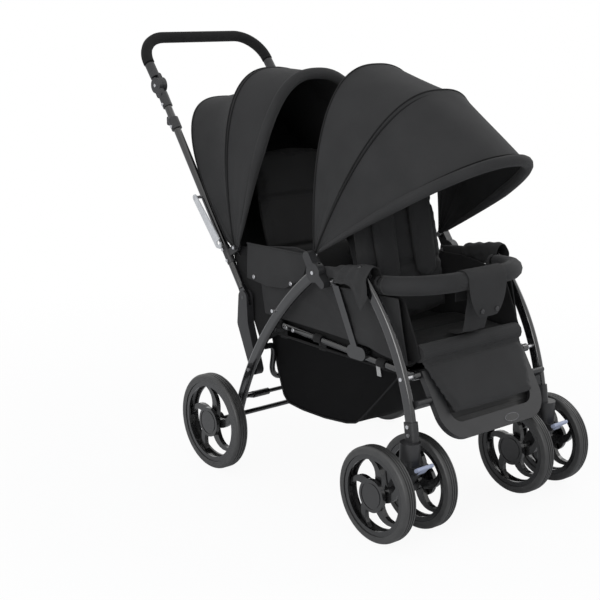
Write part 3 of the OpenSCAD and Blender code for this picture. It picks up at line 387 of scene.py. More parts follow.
def gore(name, pivot, angles, reaches, half, lift, slack, tail, bulge, end_power):
    """One gore: sagging between its bows and creased near the clips; gives the cloth and its point(u, v).

    A tail is cloth at the back edge that spreads to the push tubes near the clips, and a bulge is how far the
    sides of the front edge bow forward between the clips and the top."""
    def point(u, v):
        angle = angles[0] + (angles[1] - angles[0]) * v
        reach = reaches[0] + (reaches[1] - reaches[0]) * v + lift
        low = abs(2 * u - 1) ** 6
        share = max(0.02, math.sin(math.pi * u)) ** 0.8
        height = max(0.03, reach * share)
        angle += math.degrees(math.atan2(tail * max(0.0, 1 - height / TAIL_RISE), height)) * (1 - v) ** 4
        sag = slack * 4 * v * (1 - v) * (1 - 0.7 * low)
        crease = CREASE * low * math.sin(v * 21.0 + u * 5.0)
        out = crease - sag
        place = arch_point(pivot, angle, reach + out, half + 0.4 * out, u, ARCH_POWER + (end_power - ARCH_POWER) * v)
        ahead = bulge * v * v * share ** 0.35 * (1 - share ** 3) / 0.69
        return place + Vector((math.sin(math.radians(angle)), 0, -math.cos(math.radians(angle)))) * ahead

    piece = sheet_of(name, HOOD_STEPS, 56, point)
    wear(charcoal_cloth, piece)
    piece.data.materials.append(lining_cloth)
    bpy.ops.object.mode_set(mode="EDIT")
    bpy.ops.mesh.select_all(action="SELECT")
    bpy.ops.mesh.normals_make_consistent(inside=False)
    bpy.ops.object.mode_set(mode="OBJECT")
    face_towards(piece, top_face(piece), UP)
    finish_cloth(piece, 0.0022, 0)
    return piece, point


FRONT_CLIP = (0.14631, 0.55604)
REAR_CLIP = (-0.15073, 0.52797)
HOOD_HALF = 0.1985
BACK_BOW = 133.0  # slope of the rear hood's back bow
HOODS = (
    # name, clip, angles, reaches, roll of the hem, lift, slack, tail, bulge, end power, body, CAD node
    ("front_hood_back", FRONT_CLIP, (92.5, 62.0), (0.410, 0.402), 0.0, 0.0, 0.016, 0.0, 0.0, 2.5,
     "rear_frame", "front_canopy_rear"),
    ("front_hood_visor", FRONT_CLIP, (63.5, 29.5), (0.402, 0.452), 0.0125, 0.0035, 0.018, 0.0, 0.0, 2.2,
     "visor", "front_canopy_visor"),
    ("rear_hood_back", REAR_CLIP, (BACK_BOW, 102.0), (0.455, 0.424), 0.0, 0.0, 0.038, 0.012, 0.0, 2.5,
     "push_frame", "rear_canopy_back"),
    ("rear_hood_front", REAR_CLIP, (103.5, 79.0), (0.424, 0.412), 0.0135, 0.0035, 0.008, 0.0, 0.036, 2.4,
     "rear_hood", "rear_canopy_front"),
)


for name, clip, angles, reaches, roll, lift, slack, tail, bulge, end_power, body, node in HOODS:
    hood, point = gore(name, clip, angles, reaches, HOOD_HALF, lift, slack, tail, bulge, end_power)
    steps = [i / HOOD_STEPS for i in range(HOOD_STEPS + 1)]
    trims = [tube_of(name + "_welt", [point(u, 0.0) for u in steps], 0.0022, piping_cloth)]
    if roll:
        share = 1 - 2.1 * roll / (reaches[1] * math.radians(angles[0] - angles[1]))
        groove = [point(u, share) for u in steps[3:-3]]
        trims.append(tube_of(name + "_groove", groove, 0.0018, piping_cloth))
        edge = [point(u, 1 - 0.35 * (1 - share)) for u in steps[1:-1]]
        trims.append(tube_of(name + "_roll", edge, roll, charcoal_cloth, thin_ends=0.3))
    else:
        trims.append(tube_of(name + "_binding", [point(u, 1.0) for u in steps], 0.0026, piping_cloth))
    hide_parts(node)
    cut_area(hood) / 0.25
    for piece in (hood, *trims):
        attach(piece, body)
        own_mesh(piece)

# Rear curtain: a plain cloth that closes the rear hood behind the child, sewn to its back bow.
# Its foot hangs loose behind the backrest, so that the backrest can lie down.
CURTAIN_ROOM = 0.048  # how far behind the clips the foot hangs
CURTAIN_BELLY = 0.022


def curtain_point(u, v):
    """The curtain from its loose foot to the back bow, bellied out behind the backrest."""
    rim = arch_point(REAR_CLIP, BACK_BOW, 0.4545, 0.1965, u)
    back = Vector((-math.sin(math.radians(BACK_BOW)), 0, math.cos(math.radians(BACK_BOW))))
    foot = Vector((REAR_CLIP[0] + 0.0273, 0.15 - 0.3 * u, REAR_CLIP[1] - 0.0293)) + back * CURTAIN_ROOM
    slack = math.sin(math.pi * v) * math.sin(math.pi * u)
    crease = 0.0015 * math.sin(23 * u + 6 * v) * (1 - v)
    return foot.lerp(rim, v) + back * (0.001 + CURTAIN_BELLY * slack + crease * slack)


curtain = sheet_of("rear_curtain_cloth", 64, 40, curtain_point)
face_towards(curtain, curtain.data.polygons[1300], -AHEAD)
wear(charcoal_cloth, curtain)
curtain.data.materials.append(lining_cloth)
finish_cloth(curtain, 0.0018, 0)
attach(curtain, "push_frame")
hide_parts("rear_curtain")
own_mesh(curtain)

# Rear cross tube: one length of steel tube, bent down from each rear leg and across behind the basket.
# It is brazed to the inner sides of the legs and painted with them.
def bent(corners, radius):
    """The run through corners, each rounded as on a tube bender."""
    run = [corners[0]]
    for before, corner, after in zip(corners, corners[1:], corners[2:]):
        start = corner + (before - corner).normalized() * min(radius, (before - corner).length * 0.5)
        end = corner + (after - corner).normalized() * min(radius, (after - corner).length * 0.5)
        for i in range(13):
            share = i / 12
            run.append(start.lerp(corner, share).lerp(corner.lerp(end, share), share))
    return run + [corners[-1]]


cross_low, cross_high = (Vector(corner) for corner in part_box("rear_cross_tube"))
elbow = 0.008
cross_half = [
    Vector((cross_high.x - elbow, cross_low.y, cross_high.z - elbow)),
    Vector((cross_high.x - elbow, -0.173, cross_high.z - elbow)),
    Vector((cross_low.x + elbow, -0.1648, cross_low.z + elbow)),
]
cross_corners = cross_half + [Vector((corner.x, -corner.y, corner.z)) for corner in reversed(cross_half)]
cross_bow = tube_of("rear_cross_bow", bent(cross_corners, 0.042), 0.007, satin_black)
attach(cross_bow, "rear_frame")
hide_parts("rear_cross_tube")

# Handle grip: a sleeve of closed-cell foam pushed over the bent handle bar.
# It is matt black with fine pores, and reaches round both bends.
foam_skin = speckled(
    "foam_skin", (0.007, 0.007, 0.007), (0.012, 0.012, 0.012), (0.88, 0.97), 60, 620, 0.0007,
    Specular_IOR_Level=0.25,
)
HANDLE_FOOT = Vector((-0.46863, 0, 0.89679))
HANDLE_LEAN = math.radians(39.3)
HANDLE_RISE = Vector((-math.sin(HANDLE_LEAN), 0, math.cos(HANDLE_LEAN)))
GRIP_BEND = 0.078
grip_line = [HANDLE_FOOT + HANDLE_RISE * 0.0683 + Vector((0, -0.191, 0))]
for i in range(25):
    turn = math.radians(90 * i / 24)
    climb = 0.0705 + GRIP_BEND * math.sin(turn)
    grip_line.append(HANDLE_FOOT + HANDLE_RISE * climb + Vector((0, -0.113 - GRIP_BEND * math.cos(turn), 0)))
grip_line += [HANDLE_FOOT + HANDLE_RISE * 0.1485 + Vector((0, -0.1 + 0.02 * i, 0)) for i in range(6)]
grip_line += [Vector((place.x, -place.y, place.z)) for place in reversed(grip_line)]
grip = tube_of("handle_grip", grip_line, 0.0143, foam_skin)
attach(grip, "handle")
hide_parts("handle_foam")


# Seats and backrests: quilted pads of charcoal cloth over foam, sewn across into channels.
# Each is cut as a flat box, closed and blown up by its filling, then drawn in along its seams.
def plain_weave(name, dark, light, pitch, ways, sheen=0.05):
    """The same weave for a stuffed pad, with its threads along two axes of the stroller."""
    material = woven(name, dark, light, pitch, sheen)
    tree = material.node_tree
    place = next(node for node in tree.nodes if node.type == "TEX_COORD")
    for thread, way in zip([node for node in tree.nodes if node.type == "TEX_WAVE"], ways):
        thread.bands_direction = way
        tree.links.new(place.outputs["Object"], thread.inputs["Vector"])
    return material


PAD_TONES = (0.017, 0.017, 0.0175), (0.025, 0.025, 0.0257)
# Painted shade: a near-black copy of the pad cloth that paints the deep shade inside the seats, worn by both seat
# pads and the rear backrest.
PAINTED_SHADE_TONES = (0.003, 0.003, 0.0032), (0.006, 0.006, 0.0063)
flat_cloth = plain_weave("charcoal_cloth_flat", *PAD_TONES, THREAD_PITCH, ("X", "Y"))
upright_cloth = plain_weave("charcoal_cloth_upright", *PAD_TONES, THREAD_PITCH, ("Y", "Z"))
painted_shade_cloth = plain_weave("painted_shade_weave", *PAINTED_SHADE_TONES, THREAD_PITCH, ("Y", "Z"), 0.01)

FILL_STEPS = 20  # frames for which the filling presses
FILL_PRESSURE = 4.0
SEAM_DEPTH = 0.006
SEAM_SPREAD = 0.006  # distance over which a seam draws the cloth in


def stuffed(name, origin, along, up, size, material, taper=0.0, round_off=0.3, seams=(), cap=0.008, voxel=0.005):
    """A stuffed pad from origin, size = (length, width, thickness); seams are shares of its length.

    Cap is the furthest that the filling may move the cloth, and voxel the length of its faces."""
    bpy.ops.object.select_all(action="DESELECT")
    bpy.ops.mesh.primitive_cube_add(size=1)
    pad = bpy.context.object
    pad.name = name
    bpy.ops.object.mode_set(mode="EDIT")
    bpy.ops.mesh.subdivide(number_cuts=11)
    bpy.ops.object.mode_set(mode="OBJECT")
    along, up = along.normalized(), up.normalized()
    across = up.cross(along)
    for vertex in pad.data.vertices:
        a, b, c = 2 * vertex.co.x, 2 * vertex.co.y, vertex.co.z
        x = a * math.sqrt(1 - round_off * b * b / 2)
        y = b * math.sqrt(1 - round_off * a * a / 2) * (1 - taper * (a + 1) / 2)
        z = c * (0.72 + 0.28 * (1 - a**4) * (1 - b**4))
        vertex.co = origin + along * size[0] * (x + 1) / 2 + across * size[1] * y / 2 + up * size[2] * z
    skin = pad.modifiers.new("skin", "REMESH")
    skin.mode = "VOXEL"
    skin.voxel_size = voxel
    bpy.ops.object.modifier_apply(modifier="skin")
    cut = [vertex.co.copy() for vertex in pad.data.vertices]
    filling = pad.modifiers.new("filling", "CLOTH")
    filling.settings.use_pressure = True
    filling.settings.uniform_pressure_force = FILL_PRESSURE
    filling.settings.effector_weights.gravity = 0
    filling.point_cache.frame_end = FILL_STEPS
    for step in range(1, FILL_STEPS + 1):
        scene.frame_set(step)
    bpy.ops.object.modifier_apply(modifier="filling")
    scene.frame_set(1)
    for vertex, start in zip(pad.data.vertices, cut):
        moved = vertex.co - start
        if moved.length > cap:
            vertex.co = start + moved * (cap / moved.length)
    smooth = pad.modifiers.new("smooth", "SUBSURF")
    smooth.levels = 1
    smooth.render_levels = 1
    bpy.ops.object.modifier_apply(modifier="smooth")
    for vertex in pad.data.vertices:
        share = (vertex.co - origin).dot(along) / size[0]
        height = (vertex.co - origin).dot(up)
        for seam in seams:
            near = abs(share - seam) * size[0]
            if near < 0.02 and height > 0:
                drawn = SEAM_DEPTH * math.exp(-((near / SEAM_SPREAD) ** 2))
                vertex.co -= up * drawn * min(1, height / SEAM_DEPTH)
    bpy.ops.object.shade_smooth()
    wear(material, pad)
    return pad


SEATS = (
    # name, back edge, depth, CAD node
    ("front_seat_pad", 0.2370, 0.198, "seat_front"),
    ("rear_seat_pad", -0.0652, 0.194, "seat_rear"),
)
SEAT_LEVEL = 0.380
for name, back_edge, depth, node in SEATS:
    # Both seat pads wear the cloth with painted shade.
    pad = stuffed(
        name, Vector((back_edge, 0, SEAT_LEVEL)), AHEAD, UP, (depth, 0.318, 0.026), painted_shade_cloth,
        seams=(0.5,), cap=0.007,
    )
    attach(pad, "seat_frame")
    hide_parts(node)
    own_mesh(pad)

BACKS = (
    # name, foot, lean, cloth, body, CAD node
    ("front_back_pad", Vector((0.2423, 0, 0.3945)), 13.0, upright_cloth, "front_back", "backrest_front"),
    # The rear backrest wears the cloth with painted shade.
    ("rear_back_pad", Vector((-0.0647, 0, 0.3940)), 21.0, painted_shade_cloth, "rear_back", "backrest_rear"),
)
for name, foot, lean, cloth, body, node in BACKS:
    rise = Vector((-math.sin(math.radians(lean)), 0, math.cos(math.radians(lean))))
    face = Vector((math.cos(math.radians(lean)), 0, math.sin(math.radians(lean))))
    pad = stuffed(
        name, foot + face * 0.004, rise, face, (0.385, 0.28, 0.02), cloth, taper=0.1, seams=(0.34, 0.67), cap=0.008,
    )
    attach(pad, body)
    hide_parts(node)
    tuple(foot)
    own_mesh(pad)
    if body == "front_back":
        for hand, side in SIDES:
            strap = stuffed(
                f"shoulder_pad_{hand}",
                foot + rise * 0.09 + face * 0.0275 + Vector((0, side * 0.058, 0)), rise, face,
                (0.27, 0.076, 0.011), upright_cloth, round_off=0.5, cap=0.003, voxel=0.004,
            )
            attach(strap, body)
            tuple(foot)
            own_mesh(strap)
            if hand == "left":
                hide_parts("harness_front")

# Basket: a sagging tub of black mesh cloth hung under the seats, with a bound rim.
# One strip makes its back, floor and front; two walls close it, and loops of webbing carry it on the rails.
def netting(name, dark, light, pitch):
    """Knitted mesh: small round eyes in rows, darker than the threads between them."""
    material = bpy.data.materials.new(name)
    material.use_nodes = True
    tree = material.node_tree
    shader = tree.nodes["Principled BSDF"]
    shader.inputs["Roughness"].default_value = 0.75
    shader.inputs["Specular IOR Level"].default_value = 0.08
    place = tree.nodes.new("ShaderNodeTexCoord")
    eyes = tree.nodes.new("ShaderNodeTexVoronoi")
    eyes.inputs["Scale"].default_value = 1 / pitch
    eyes.inputs["Randomness"].default_value = 0.15
    tree.links.new(place.outputs["UV"], eyes.inputs["Vector"])
    tones = tree.nodes.new("ShaderNodeValToRGB")
    tones.color_ramp.elements[0].position = 0.2
    tones.color_ramp.elements[0].color = (*dark, 1)
    tones.color_ramp.elements[1].position = 0.55
    tones.color_ramp.elements[1].color = (*light, 1)
    tree.links.new(eyes.outputs["Distance"], tones.inputs["Fac"])
    tree.links.new(tones.outputs["Color"], shader.inputs["Base Color"])
    relief = tree.nodes.new("ShaderNodeBump")
    relief.inputs["Strength"].default_value = 0.6
    relief.inputs["Distance"].default_value = pitch * 0.4
    tree.links.new(eyes.outputs["Distance"], relief.inputs["Height"])
    tree.links.new(relief.outputs["Normal"], shader.inputs["Normal"])
    return material


basket_net = netting("basket_net", (0.001, 0.001, 0.001), (0.0055, 0.0055, 0.006), 0.0022)


def along_line(points, share):
    """The point at that share of a run of points."""
    spans = [(b - a).length for a, b in zip(points, points[1:])]
    left = share * sum(spans)
    for a, b, span in zip(points, points[1:], spans):
        if left <= span:
            return a.lerp(b, left / span)
        left -= span
    return points[-1].copy()


BELLY = [
    Vector((x, 0, z)) for x, z in (
        (-0.0517, 0.333), (-0.0297, 0.250), (-0.006, 0.187), (0.012, 0.171), (0.0643, 0.1665), (0.1443, 0.1675),
        (0.2193, 0.175), (0.250, 0.183), (0.268, 0.197), (0.3263, 0.258), (0.3923, 0.330),
    )
]
BASKET_HALF = 0.1612
RAIL_BACK = (-0.0217, 0.364)  # x and z of the rails' back end, from which they fall to the front
RAIL_FALL = 0.0516
RAIL_LANE = 0.172  # y of the rails
LOOP_WIDTH = 0.026
LOOP_ROUND = 0.0091  # radius round the rail
LOOP_RISE = 0.35  # share of a loop below the rail
LOOP_FOOT = 0.326


def belly_point(u, v):
    """The strip under the load: back wall, floor and slanting front wall in one length."""
    place = along_line(BELLY, v)
    slack = math.sin(math.pi * v) * math.sin(math.pi * u)
    place.y = BASKET_HALF * (2 * u - 1)
    place.z -= 0.004 * slack + 0.0012 * math.sin(19 * u + 13 * v) * slack
    return place


basket_cloths = []
belly = sheet_of("basket_belly", 40, 72, belly_point)
face_towards(belly, min(belly.data.polygons, key=lambda face: face.center.z), -UP)
basket_cloths.append((belly, 0.322))
for hand, side in SIDES:

    def wall_point(u, v):
        """A side wall, from the strip's edge up to the rim."""
        place = along_line(BELLY, u).lerp(BELLY[0].lerp(BELLY[-1], u), v)
        slack = math.sin(math.pi * u) * math.sin(math.pi * v)
        place.y = side * (BASKET_HALF + 0.0022 * slack + 0.0009 * math.sin(27 * u - 8 * v) * slack)
        return place

    wall = sheet_of(f"basket_wall_{hand}", 72, 24, wall_point)
    face_towards(wall, wall.data.polygons[800], Vector((0, side, 0)))
    basket_cloths.append((wall, 0.17))
    edge = [along_line(BELLY, i / 90) + Vector((0, side * (BASKET_HALF + 0.0008), 0)) for i in range(91)]
    basket_cloths.append((tube_of(f"basket_seam_{hand}", edge, 0.0021, piping_cloth), None))
    for i, x in enumerate((-0.005, 0.135, 0.345)):
        rail_level = RAIL_BACK[1] - RAIL_FALL * (x - RAIL_BACK[0])

        def loop_point(u, v):
            """A webbing loop: up from the rim and over the rail."""
            if v < LOOP_RISE:
                climb = v / LOOP_RISE
                y, z = 0.1618 + 0.0012 * climb, LOOP_FOOT + (rail_level - LOOP_FOOT) * climb
            else:
                turn = math.pi - (v - LOOP_RISE) / (1 - LOOP_RISE) * 1.45 * math.pi
                y, z = RAIL_LANE + LOOP_ROUND * math.cos(turn), rail_level + LOOP_ROUND * math.sin(turn)
            return Vector((x + LOOP_WIDTH * (u - 0.5), side * y, z))

        loop = sheet_of(f"basket_loop_{hand}_{i}", 4, 40, loop_point)
        face_towards(loop, top_face(loop), UP)
        wear(piping_cloth, loop)
        finish_cloth(loop, -0.0009, 0)
        basket_cloths.append((loop, LOOP_WIDTH))
corners = [
    BELLY[0] + Vector((0, -BASKET_HALF, 0)), BELLY[-1] + Vector((0, -BASKET_HALF, 0)),
    BELLY[-1] + Vector((0, BASKET_HALF, 0)), BELLY[0] + Vector((0, BASKET_HALF, 0)),
]
basket_cloths.append((tube_of("basket_rim", corners, 0.0032, piping_cloth, closed=True), None))


def tag_point(u, v):
    """A small bare label that hangs from the rim."""
    return Vector((0.316 + 0.013 * u + 0.006 * v, -(BASKET_HALF + 0.0042 + 0.0012 * v * v), 0.332 - 0.021 * v))


label_cloth = speckled("label_cloth", (0.28, 0.28, 0.28), (0.36, 0.36, 0.355), (0.7, 0.85), 200, 2600, 0.0002)
tag = sheet_of("basket_tag", 6, 10, tag_point)
face_towards(tag, tag.data.polygons[30], Vector((0, -1, 0)))
wear(label_cloth, tag)
finish_cloth(tag, 0.0006, 0)
basket_cloths.append((tag, 0.013))
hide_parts("basket")
for piece, width in basket_cloths:
    if piece.name in ("basket_belly", "basket_wall_right", "basket_wall_left"):
        wear(basket_net, piece)
        finish_cloth(piece, 0.0014, 0)
    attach(piece, "seat_frame")
    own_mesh(piece)
    if width:
        cut_area(piece) / width


# Side panels of the seats: plain cloth between the armrest, the hub and the rail.
# They are sewn to the pads, turned under at their edges and closed with snaps, and lined inside.
# A gusset behind each lining closes the corner up to the push tube.
TURN_SHARE = 0.12  # share of a panel that is turned in at its foot
SEAT_TUCK = dict(axis=(0, 0, 1), anchor=(0, 0, 0.36), keep=0.2)
DRAPES = (0.62, 0.55, 1.0), (0.30, 0.35, -0.8), (0.95, 0.75, 0.6)  # start, slant and depth of each slanting fold


def panel(
    name, low_line, high_line, y, bulge, body, side, turned_in=0.0, drape=0.0, flare=0.0, cloth=charcoal_cloth,
):
    """A cloth panel stretched between a lower and an upper run of (x, z) points, its foot turned in.

    Drape is the depth of the slanting folds that run down from the hub to the rail, and flare is how far the rear
    edge stands out to the push tube."""
    low = [Vector((x, 0, z)) for x, z in low_line]
    high = [Vector((x, 0, z)) for x, z in high_line]

    def point(u, v):
        rise = max(0.0, (v - TURN_SHARE) / (1 - TURN_SHARE)) if turned_in else v
        place = along_line(low, u).lerp(along_line(high, u), rise)
        fold = 0.0006 * math.sin(11 * u + 5 * v) * math.sin(math.pi * rise)
        for start, slant, depth in DRAPES:
            fold += depth * drape * math.exp(-(((v - start + slant * u) / 0.09) ** 2)) * math.sin(math.pi * u)
        out = y + bulge * math.sin(math.pi * u) * math.sin(math.pi * rise) + fold + flare * (1 - u)
        if turned_in and v < TURN_SHARE:
            out -= turned_in * (1 - v / TURN_SHARE)
            place.z += 0.003 * (1 - v / TURN_SHARE)
        place.y = side * out
        return place

    piece = sheet_of(name, 60, 40, point)
    face_towards(piece, piece.data.polygons[1500], Vector((0, side, 0)))
    wear(cloth, piece)
    piece.data.materials.append(lining_cloth)
    finish_cloth(piece, 0.0016, 1)
    hem_line = [point(i / 60, 1.0) for i in range(61)] + [point(1.0, 1 - i / 30) for i in range(1, 27)]
    hem = tube_of(name + "_hem", hem_line, 0.0019, cloth)
    for sewn in (piece, hem):
        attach(sewn, body)
        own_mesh(sewn)


for hand, side in SIDES:
    panel(
        f"side_skirt_{hand}",
        [(-0.058, 0.378), (0.10, 0.3765), (0.24, 0.3735), (0.305, 0.3725), (0.35, 0.364), (0.425, 0.358)],
        [
            (-0.090, 0.536), (0.0, 0.549), (0.06, 0.556), (0.132, 0.548), (0.176, 0.506), (0.20, 0.488),
            (0.25, 0.492), (0.31, 0.494), (0.393, 0.496),
        ],
        0.1775, -0.004, "seat_frame", side, turned_in=0.02, drape=0.0035,
    )
    panel(
        f"seat_lining_{hand}",
        [(-0.045, 0.345), (0.10, 0.358), (0.25, 0.350), (0.34, 0.346), (0.418, 0.350), (0.445, 0.376)],
        [(-0.105, 0.527), (0.0, 0.526), (0.13, 0.524), (0.26, 0.526), (0.335, 0.516), (0.395, 0.488)],
        0.1590, 0.0, "seat_frame", side, cloth=lining_cloth,
    )
    panel(
        f"rear_gusset_{hand}", [(-0.073, 0.300), (-0.045, 0.318), (-0.015, 0.338)],
        [(-0.193, 0.526), (-0.14, 0.527), (-0.075, 0.527)],
        0.1608, 0.0, "push_frame", side, flare=0.0165, cloth=lining_cloth,
    )
    panel(
        f"rear_flap_{hand}",
        [(-0.116, 0.458), (-0.04, 0.450), (0.03, 0.456), (0.092, 0.492)],
        [(-0.114, 0.543), (-0.04, 0.545), (0.05, 0.547), (0.118, 0.549)],
        0.1865, 0.003, "seat_frame", side,
    )


def well_point(u, v):
    """The cloth between the two seats, where the rear child's feet rest."""
    slack = math.sin(math.pi * u) * math.sin(math.pi * v) ** 0.5
    return Vector((0.122 + 0.124 * u, 0.160 * (2 * v - 1), 0.3775 - 0.022 * slack + 0.001 * math.sin(14 * v + 9 * u)))


well = sheet_of("foot_well", 30, 60, well_point)
face_towards(well, well.data.polygons[900], UP)
wear(lining_cloth, well)
finish_cloth(well, 0.0016, 0)
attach(well, "seat_frame")
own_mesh(well)

# Armrests: the links from the hubs to the front legs, wrapped in padded cloth.
# A loop of the same cloth closes round each front end and the bumper bar's mount.
HUB = Vector((0.16871, 0, 0.52204))
ARM_END = Vector((0.31615, 0, 0.53468))
for hand, side in SIDES:
    run = ARM_END - HUB
    pad = stuffed(
        f"armrest_{hand}", HUB - run.normalized() * 0.011 + Vector((0, side * 0.1938, 0)), run, UP,
        (run.length + 0.022, 0.0105, 0.029), flat_cloth, round_off=0.2, cap=0.0012, voxel=0.003,
    )
    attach(pad, "arms")
    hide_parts(f"arm_{hand}")

    def saddle_point(u, v):
        """The wrap over the armrest: round its top and hanging at both sides, lowest outside near the front."""
        lane = 2 * v - 1
        centre = HUB.lerp(ARM_END, 0.44 + 0.76 * u) - UP * 0.02 * max(0.0, u - 0.72)
        round_y, round_z = 0.0172 + 0.006 * u, 0.0185 + 0.012 * u
        crease = 0.0011 * math.sin(u * 23 + lane * 7) + 0.0008 * math.sin(u * 9 - lane * 15)
        if abs(lane) < 0.5:
            turn = lane * math.pi
            y, z = round_y * math.sin(turn), round_z * math.cos(turn)
        else:
            hang = (abs(lane) - 0.5) / 0.5
            drop = 0.018 + (0.050 * math.exp(-(((u - 0.80) / 0.2) ** 2)) if lane > 0 else 0.006)
            y, z = math.copysign(round_y - 0.003 * hang, lane), -drop * hang
        return Vector((centre.x, side * (0.2012 + y + crease), centre.z + z + crease))

    saddle = sheet_of(f"arm_wrap_{hand}", 40, 48, saddle_point)
    face_towards(saddle, top_face(saddle), UP)
    wear(charcoal_cloth, saddle)
    saddle.data.materials.append(lining_cloth)
    finish_cloth(saddle, 0.0018, 1)
    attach(saddle, "arms")

# Bumper bar: a bent tube in a padded cloth sleeve, across the front seat between the armrests.
# A flap and a strap hang from its middle between the child's legs; the flap closes with two snaps.
BUMPER_FOOT = Vector((0.3372, 0, 0.5177))
BUMPER_TILT = math.radians(5.6)
BUMPER_AHEAD = Vector((math.cos(BUMPER_TILT), 0, math.sin(BUMPER_TILT)))
reach, half, bend = 0.1241, 0.176, 0.112
BUMPER_MIDDLE = BUMPER_FOOT + BUMPER_AHEAD * reach
bar_line = [BUMPER_FOOT + BUMPER_AHEAD * (0.017 * i / 4) + Vector((0, -half, 0)) for i in range(4)]
for i in range(25):
    turn = math.radians(90 * i / 24)
    bar_line.append(
        BUMPER_FOOT + BUMPER_AHEAD * (reach - bend + bend * math.sin(turn))
        + Vector((0, -(half - bend) - bend * math.cos(turn), 0))
    )
bar_line += [Vector((place.x, -place.y, place.z)) for place in reversed(bar_line)]
bar = tube_of("bumper_sleeve", bar_line, 0.0212, flat_cloth)
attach(bar, "bumper")
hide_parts("bumper_bar")

FLAP_LONG = 0.2037
FLAP_BEHIND = 0.05  # length behind the bar
FLAP_WRAP = 0.0237  # radius over the bar
FLAP_FALL = 0.084  # length in front of the bar, over which the foot is rounded


def flap_point(u, v):
    """The crotch flap: up behind the bar, over it and down in front, rounded at its foot."""
    wrap = FLAP_WRAP
    over = v * FLAP_LONG - FLAP_BEHIND
    if over < 0:
        place = Vector((-wrap, 0, over))
    elif over < math.pi * wrap:
        place = Vector((-wrap * math.cos(over / wrap), 0, wrap * math.sin(over / wrap)))
    else:
        place = Vector((wrap + 0.004 * math.sin((over - math.pi * wrap) * 18), 0, math.pi * wrap - over))
    fall = max(0.0, over - math.pi * wrap) / FLAP_FALL
    wide = 0.059 * math.sqrt(max(0.1, 1 - 0.9 * fall * fall)) if over > 0 else 0.052
    return BUMPER_MIDDLE + place + Vector((0.002 * math.sin(u * math.pi), wide * (2 * u - 1), 0))


flap = sheet_of("crotch_flap_cloth", 24, 60, flap_point)
face_towards(flap, top_face(flap), UP)
wear(charcoal_cloth, flap)
flap.data.materials.append(lining_cloth)
finish_cloth(flap, 0.0018, 1)
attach(flap, "bumper")
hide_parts("crotch_flap")
crumple = dict(axis=(0, 0, 1), anchor=tuple(BUMPER_MIDDLE), keep=0.3)
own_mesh(flap)

STRAP_WIDTH = 0.076
strap_line = [
    Vector((x, 0, z)) for x, z in (
        (0.461, 0.5115), (0.459, 0.475), (0.455, 0.437), (0.446, 0.4105), (0.428, 0.4040), (0.404, 0.4035),
    )
]


def strap_point(u, v):
    """The crotch strap, from the bar down to the seat."""
    place = along_line(strap_line, v)
    wide = STRAP_WIDTH / 2 * (1 - 0.1 * v)
    return place + Vector((0.0015 * math.sin(11 * v), wide * (2 * u - 1), 0.001 * math.sin(9 * u)))


strap = sheet_of("crotch_strap", 16, 48, strap_point)
face_towards(strap, strap.data.polygons[400], AHEAD)
wear(charcoal_cloth, strap)
strap.data.materials.append(lining_cloth)
finish_cloth(strap, 0.0022, 1)
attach(strap, "bumper")
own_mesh(strap)

# Snaps and rivets: pressed steel caps that close the side flaps and the crotch flap, and two on each rail.
# Each is a shallow domed disc with a dimple, set on the cloth or the tube.
dull_zinc = speckled(
    "dull_zinc", (0.30, 0.30, 0.31), (0.42, 0.42, 0.43), (0.3, 0.45), 300, 1800, 0.00005, Metallic=1.0,
)
black_steel = speckled(
    "black_steel", (0.035, 0.035, 0.036), (0.06, 0.06, 0.062), (0.25, 0.4), 300, 1800, 0.00005, Metallic=0.6,
)


def snap(name, place, facing, body, metal, tuck=None):
    """One press stud at place, its cap towards facing; when tuck is given, the stud gets a mesh of its own."""
    bpy.ops.object.select_all(action="DESELECT")
    bpy.ops.mesh.primitive_cylinder_add(vertices=32, radius=0.0052, depth=0.0022)
    stud = bpy.context.object
    stud.name = name
    bpy.ops.object.mode_set(mode="EDIT")
    bpy.ops.mesh.select_mode(type="FACE")
    bpy.ops.mesh.select_all(action="DESELECT")
    bpy.ops.object.mode_set(mode="OBJECT")
    for face in stud.data.polygons:
        face.select = face.normal.z > 0.9
    bpy.ops.object.mode_set(mode="EDIT")
    bpy.ops.mesh.inset(thickness=0.0012, depth=0.0009)
    bpy.ops.mesh.inset(thickness=0.0016, depth=0.0)
    bpy.ops.mesh.inset(thickness=0.0005, depth=-0.0007)
    bpy.ops.object.mode_set(mode="OBJECT")
    stud.data.transform(Matrix.Translation(place) @ facing.to_track_quat("Z", "Y").to_matrix().to_4x4())
    bpy.ops.object.shade_smooth_by_angle(angle=math.radians(35))
    wear(metal, stud)
    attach(stud, body)
    if tuck:
        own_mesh(stud)


for hand, side in SIDES:
    outwards = Vector((0, side, 0))
    for i, (x, z) in enumerate(((-0.086, 0.4655), (0.052, 0.472))):
        snap(f"flap_snap_{hand}_{i}", Vector((x, side * 0.1885, z)), outwards, "seat_frame", dull_zinc, SEAT_TUCK)
    for i, (x, z) in enumerate(((0.025, 0.3616), (0.0507, 0.3603))):
        snap(f"rail_rivet_{hand}_{i}", Vector((x, side * 0.1806, z)), outwards, "seat_frame", dull_zinc)
    button_place = BUMPER_MIDDLE + Vector((0.0300, side * 0.0225, -0.066))
    snap(f"crotch_snap_{hand}", button_place, AHEAD, "bumper", black_steel, crumple)

# Calf rest: a padded board under the front seat's edge, with a seam across near its top.
# It hinges up from the seat frame to carry a sleeping child's legs.
CALF_TOP = Vector((0.4428, 0, 0.369))
CALF_LEAN = math.radians(34.5)
calf_down = Vector((math.sin(CALF_LEAN), 0, -math.cos(CALF_LEAN)))
calf_face = Vector((math.cos(CALF_LEAN), 0, math.sin(CALF_LEAN)))
calf = stuffed(
    "calf_pad", CALF_TOP + calf_face * 0.001 - calf_down * 0.011, calf_down, calf_face, (0.141, 0.328, 0.0085),
    upright_cloth, taper=0.22, round_off=0.14, seams=(0.14,), cap=0.004,
)
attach(calf, "calf")
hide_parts("calf_rest")
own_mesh(calf)

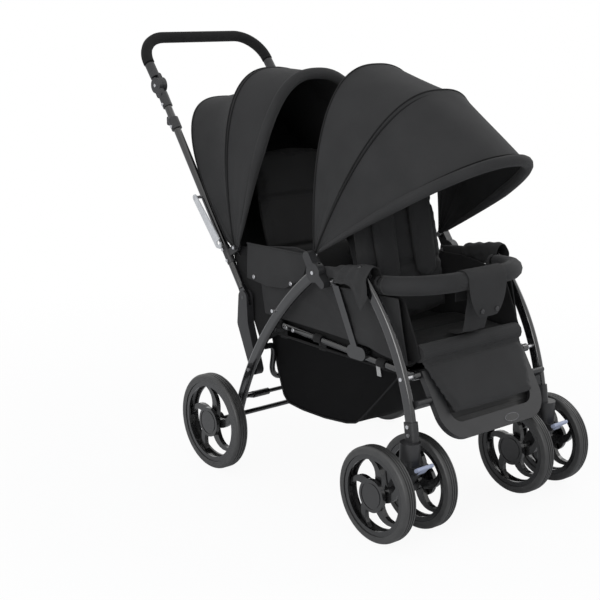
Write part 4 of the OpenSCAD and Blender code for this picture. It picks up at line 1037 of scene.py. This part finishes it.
edge_roll = tube_of(
    "seat_edge_roll", [Vector((0.4325, -0.155 + 0.31 * i / 28, 0.3815)) for i in range(29)], 0.0192, flat_cloth,
)
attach(edge_roll, "seat_frame")
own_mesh(edge_roll)

# Foot-board web: a thin sheet, ribbed across for grip, that closes the board's opening behind the calf rest.
# Its near-black colour, darker than the board's plastic, is painted shade for the inside of the board and the gap
# behind the calf rest.
BOARD_TOP = Vector((0.4386, 0, 0.3419))
BOARD_SLOPE = math.radians(57.9)
board_down = Vector((math.cos(BOARD_SLOPE), 0, -math.sin(BOARD_SLOPE)))
board_face = Vector((math.sin(BOARD_SLOPE), 0, math.cos(BOARD_SLOPE)))


def web_point(u, v):
    """The web across the board's opening, with ribs from side to side."""
    ridge = 0.0007 * max(0.0, math.sin(v * 40)) + 0.0036
    return BOARD_TOP + board_down * (0.045 + 0.083 * v) + board_face * ridge + Vector((0, 0.252 * (u - 0.5), 0))


# Near-black, darker than the board's plastic: painted shade.
painted_shade_plastic = speckled("painted_shade_plastic", (0.004, 0.004, 0.0042), (0.007, 0.007, 0.0073), (0.5, 0.65), 60, 1500, 0.0001)
web = sheet_of("foot_web", 4, 80, web_point)
face_towards(web, web.data.polygons[100], AHEAD)
wear(painted_shade_plastic, web)
finish_cloth(web, 0.0014, 0)
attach(web, "front_frame")

# Foot-board badge: a bare oval plate in a raised rim, pressed on the board's front lip.
# It is moulded of the same glossy dark plastic as the rims.
badge_at = BOARD_TOP + Vector((0, 0.042, 0)) + board_down * 0.146 + board_face * 0.0141
oval = [
    badge_at + Vector((0, 0.021 * math.cos(turn), 0)) + board_down * 0.0085 * math.sin(turn)
    for turn in (math.radians(6 * i) for i in range(60))
]
badge_rim = tube_of("badge_rim", oval, 0.0011, button_plastic, closed=True)
bpy.ops.object.select_all(action="DESELECT")
bpy.ops.mesh.primitive_cylinder_add(vertices=60, radius=1, depth=1)
badge = bpy.context.object
badge.name = "badge_plate"
for vertex in badge.data.vertices:
    x, y, z = vertex.co
    vertex.co = badge_at + Vector((0, 0.0208 * x, 0)) + board_down * 0.0083 * y + board_face * 0.0012 * z
bpy.ops.object.shade_smooth_by_angle(angle=math.radians(30))
wear(rim_plastic, badge)
for piece in (badge_rim, badge):
    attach(piece, "front_frame")
